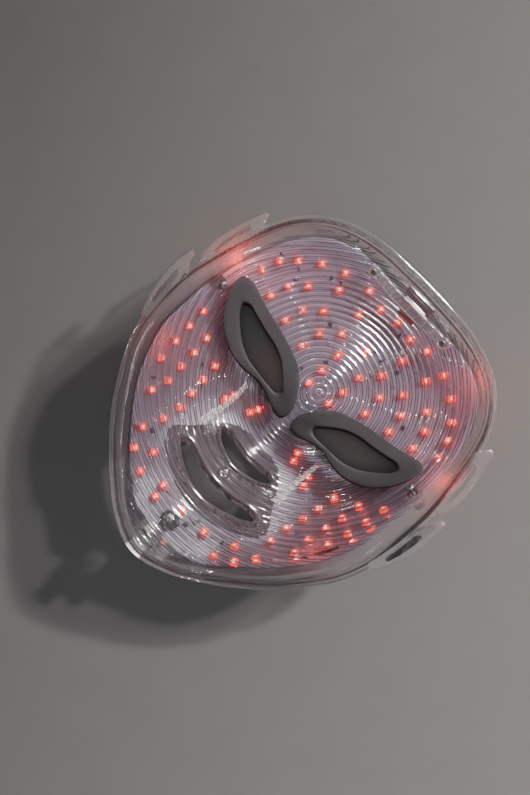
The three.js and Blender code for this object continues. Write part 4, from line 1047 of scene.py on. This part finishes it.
boolean(bar, "UNION", *[tool(on_face(bar_end, side * CLIP_SCREW_X, clip_y(CLIP_SCREW_X)))
                        for side in (-1, 1)])
tidy(bar, 35)
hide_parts("clip_bar")


def screw(name, node, axes, at, base, r, height, shank):
    """Domed cross-head screw along the z of its axes, with its head on the base height."""
    profile = [(0, base - shank), (0.9, base - shank), (0.95, base - 0.1), (r * 0.92, base),
               (r, base + 0.15), (r, base + height * 0.45), (r * 0.93, base + height * 0.72),
               (r * 0.76, base + height * 0.9), (r * 0.5, base + height * 0.98),
               (r * 0.25, base + height), (0, base + height)]
    ob = make(name, put(lathe(profile, 40), axes, at), SCREW, body="mask")
    top = at + axes @ np.array([0, 0, base + height])
    boolean(ob, "DIFFERENCE", *[tool(put(block(width, depth, height * 1.1, 0.1, 2), axes, top))
                                for width, depth in ((r * 1.1, r * 0.26), (r * 0.26, r * 1.1))])
    tidy(ob, 35)
    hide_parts(node)


for tag, side in (("left", -1), ("right", 1)):
    screw("pin_brow_" + tag, "clip_screw_" + tag,
          *face_axes(side * CLIP_SCREW_X, clip_y(CLIP_SCREW_X)),
          base=11.3, r=1.7, height=0.9, shank=6.0)
    screw("pin_temple_" + tag, "temple_screw_" + tag, *face_axes(side * TEMPLE_X, TEMPLE_Y),
          base=6.7, r=2.2, height=1.1, shank=5.0)
for tag, x, y, _, head in MID_SCREWS:
    screw("pin_" + tag, tag + "_screw", np.eye(3), np.array([x, y, 0.0]),
          base=lens_top(x, y, head) + 0.1, r=head * 0.62, height=0.7, shank=7.0)

latch_axes, latch_at = turn_x(math.radians(66)), np.array([2.2, 67.6, 27.5])
latch = make("latch_smoked", put(block(19, 9, 3.4, 0.8, 3), latch_axes, latch_at),
             LATCH_SMOKED, body="mask")
boolean(latch, "DIFFERENCE", tool(put(block(14, 5, 3.4, 0.7, 3), latch_axes,
                                      latch_at + latch_axes @ np.array([0, 0, 1.8]))))
tidy(latch, 35)
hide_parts("clip_latch")
tab = make("tab_small", gather([on_face(block(11, 3.2, 1.3, 0.45, 3), 2.2, 63.9, (0, 0, 9.0)),
                                on_face(block(7, 2.2, 1.6, 0.3, 3), 2.2, 63.9, (0, 0, 8.0))]),
           TAB, body="mask", sharp=35)
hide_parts("clip_tab")

# ---------------------------------------------------------------- carried-over CAD solids
# node, material, bevel width in mm
for node, material, width in (
        ("control_board", SOLDER_MASK, 0.15), ("charge_port_shell", STEEL, 0.3),
        ("charge_port_tongue", BLACK, 0.1), ("board_connector", NYLON, 0.2),
        ("power_inductor", COPPER, 0.15), ("driver_chip", BLACK, 0.1),
        ("button_switch", SWITCH, 0.3), ("power_button", SWITCH, 0.25),
        ("flex_tail", LAMINATE, 0.05), ("battery_cell", FOIL, 0.5),
        ("battery_lead", WIRE, 0.05), ("battery_header", NYLON, 0.2)):
    ob = bpy.data.objects[node]
    ob.data.materials.clear()
    ob.data.materials.append(material)
    bevel = ob.modifiers.new("edge", "BEVEL")
    bevel.width, bevel.segments, bevel.limit_method = width * 0.001, 3, "ANGLE"
    bevel.harden_normals = True


# ---------------------------------------------------------------- floor
def floor_grey():
    """Speckled grey with painted light: its brightness drifts along two directions of the floor."""
    s = Shader("floor_grey")
    coords = s.coords()
    grain = s.noise(coords, 45.0, 8.0, Roughness=0.6)
    runs = [s.node("VectorMath", {0: coords, 1: direction}, operation="DOT_PRODUCT")
            for direction in ((0.659, 0.752, 0.0), (0.728, -0.637, 0.0))]
    painted_light_drift = [s.remap(run.outputs["Value"], span, to) for run, span, to in zip(
        runs, ((-0.16, 0.16), (-0.24, 0.24)), ((-0.17, 0.15), (-0.16, 0.16)))]
    # painted light: the grey grows brighter towards one side, as under a near lamp
    tone = s.math("ADD", s.math("ADD", *painted_light_drift), 0.86)
    color = s.mix_color(grain, (0.185, 0.180, 0.174, 1), (0.205, 0.200, 0.193, 1))
    color = s.first("VectorMath", {0: color, "Scale": tone}, operation="SCALE")
    relief = s.bump(grain, strength=0.3, distance=0.00004)
    return s.finish(s.first("BsdfPrincipled", {"Base Color": color, "Roughness": 0.8,
                                               "Normal": relief, "Specular IOR Level": 0.0}))


me = bpy.data.meshes.new("floor")
me.from_pydata([(-3, -3, 0), (3, -3, 0), (3, 3, 0), (-3, 3, 0)], [], [(0, 1, 2, 3)])
floor = bpy.data.objects.new("floor", me)
bpy.context.scene.collection.objects.link(floor)
me.materials.append(floor_grey())

# ---------------------------------------------------------------- light
world = bpy.context.scene.world or bpy.data.worlds.new("world")
bpy.context.scene.world = world
world.use_nodes = True
nodes = world.node_tree.nodes
sky = nodes.get("Background") or nodes.new("ShaderNodeBackground")
sky.inputs[0].default_value = (0.92, 0.94, 1.0, 1.0)
sky.inputs[1].default_value = 0.16

LIGHT_TARGET = Vector((0.0, 0.0, 0.02))


def area(name, direction, distance, size, power, hidden_from, color=(1, 1, 1)):
    """Disc light aimed at the mask; the direction is in mask axes."""
    d = leaned(direction).normalized()
    light = bpy.data.lights.new(name, "AREA")
    light.shape, light.size, light.energy, light.color = "DISK", size, power, color
    ob = bpy.data.objects.new(name, light)
    ob.location = LIGHT_TARGET + d * distance
    ob.rotation_euler = d.to_track_quat("Z", "Y").to_euler()
    bpy.context.scene.collection.objects.link(ob)
    setattr(ob, "visible_" + hidden_from, False)


area("key", (0.28, 0.70, 0.66), distance=2.6, size=0.14, power=112.0, hidden_from="glossy",
     color=(1.0, 0.975, 0.95))
area("shine", (-0.17, 0.80, 0.58), distance=2.2, size=0.32, power=950.0,
     hidden_from="diffuse", color=(1.0, 0.98, 0.96))
area("fill", (0.19, -0.17, 0.97), distance=1.6, size=0.6, power=7.0, hidden_from="glossy",
     color=(0.96, 0.97, 1.0))
# small highlights: direction, size, power
for k, (direction, size, power) in enumerate((
        ((1.0, 0.25, 0.75), 0.10, 7.0), ((-0.9, 0.55, 0.7), 0.10, 7.0),
        ((0.35, -1.0, 0.9), 0.12, 6.0), ((-0.75, -0.6, 1.1), 0.12, 5.0),
        ((0.75, 0.9, 1.2), 0.10, 6.0))):
    area("glint_%d" % k, direction, distance=1.5, size=size, power=power, hidden_from="diffuse")

# red glow near the rim: x, y, z in mask mm, power
for k, (x, y, z, power) in enumerate(((79, 10, 36, 0.03), (52, 60, 33, 0.03),
                                      (-76, 10, 36, 0.06), (-66, -48, 38, 0.03),
                                      (60, -60, 30, 0.02))):
    light = bpy.data.lights.new("glow_%d" % k, "POINT")
    light.energy, light.color, light.shadow_soft_size = power, (1.0, 0.04, 0.02), 0.006
    ob = bpy.data.objects.new("glow_%d" % k, light)
    ob.location = Vector(to_frame([x, y, z])[0])
    ob.visible_camera = ob.visible_glossy = ob.visible_transmission = False
    bpy.context.scene.collection.objects.link(ob)

# ---------------------------------------------------------------- camera, in mask axes
cam = bpy.data.cameras.new("camera")
cam.lens, cam.sensor_fit, cam.sensor_height = 50.02, "VERTICAL", 36.0
cam.clip_start, cam.clip_end = 0.01, 20.0
camera = bpy.data.objects.new("camera", cam)
right = leaned((0.6588493084638626, 0.7522746394705996, 0.0006749415305442152))
up = leaned((-0.7277368920515618, 0.6371311197670037, 0.2538955536664195))
back = leaned((0.19056916984446104, -0.16777008980692487, 0.96723141385684))
turned = Matrix((right, up, back)).transposed().to_4x4()
place = Vector(to_frame([95.818, -123.005, 576.723])[0])
camera.matrix_world = Matrix.Translation(place) @ turned
bpy.context.scene.collection.objects.link(camera)
bpy.context.scene.camera = camera
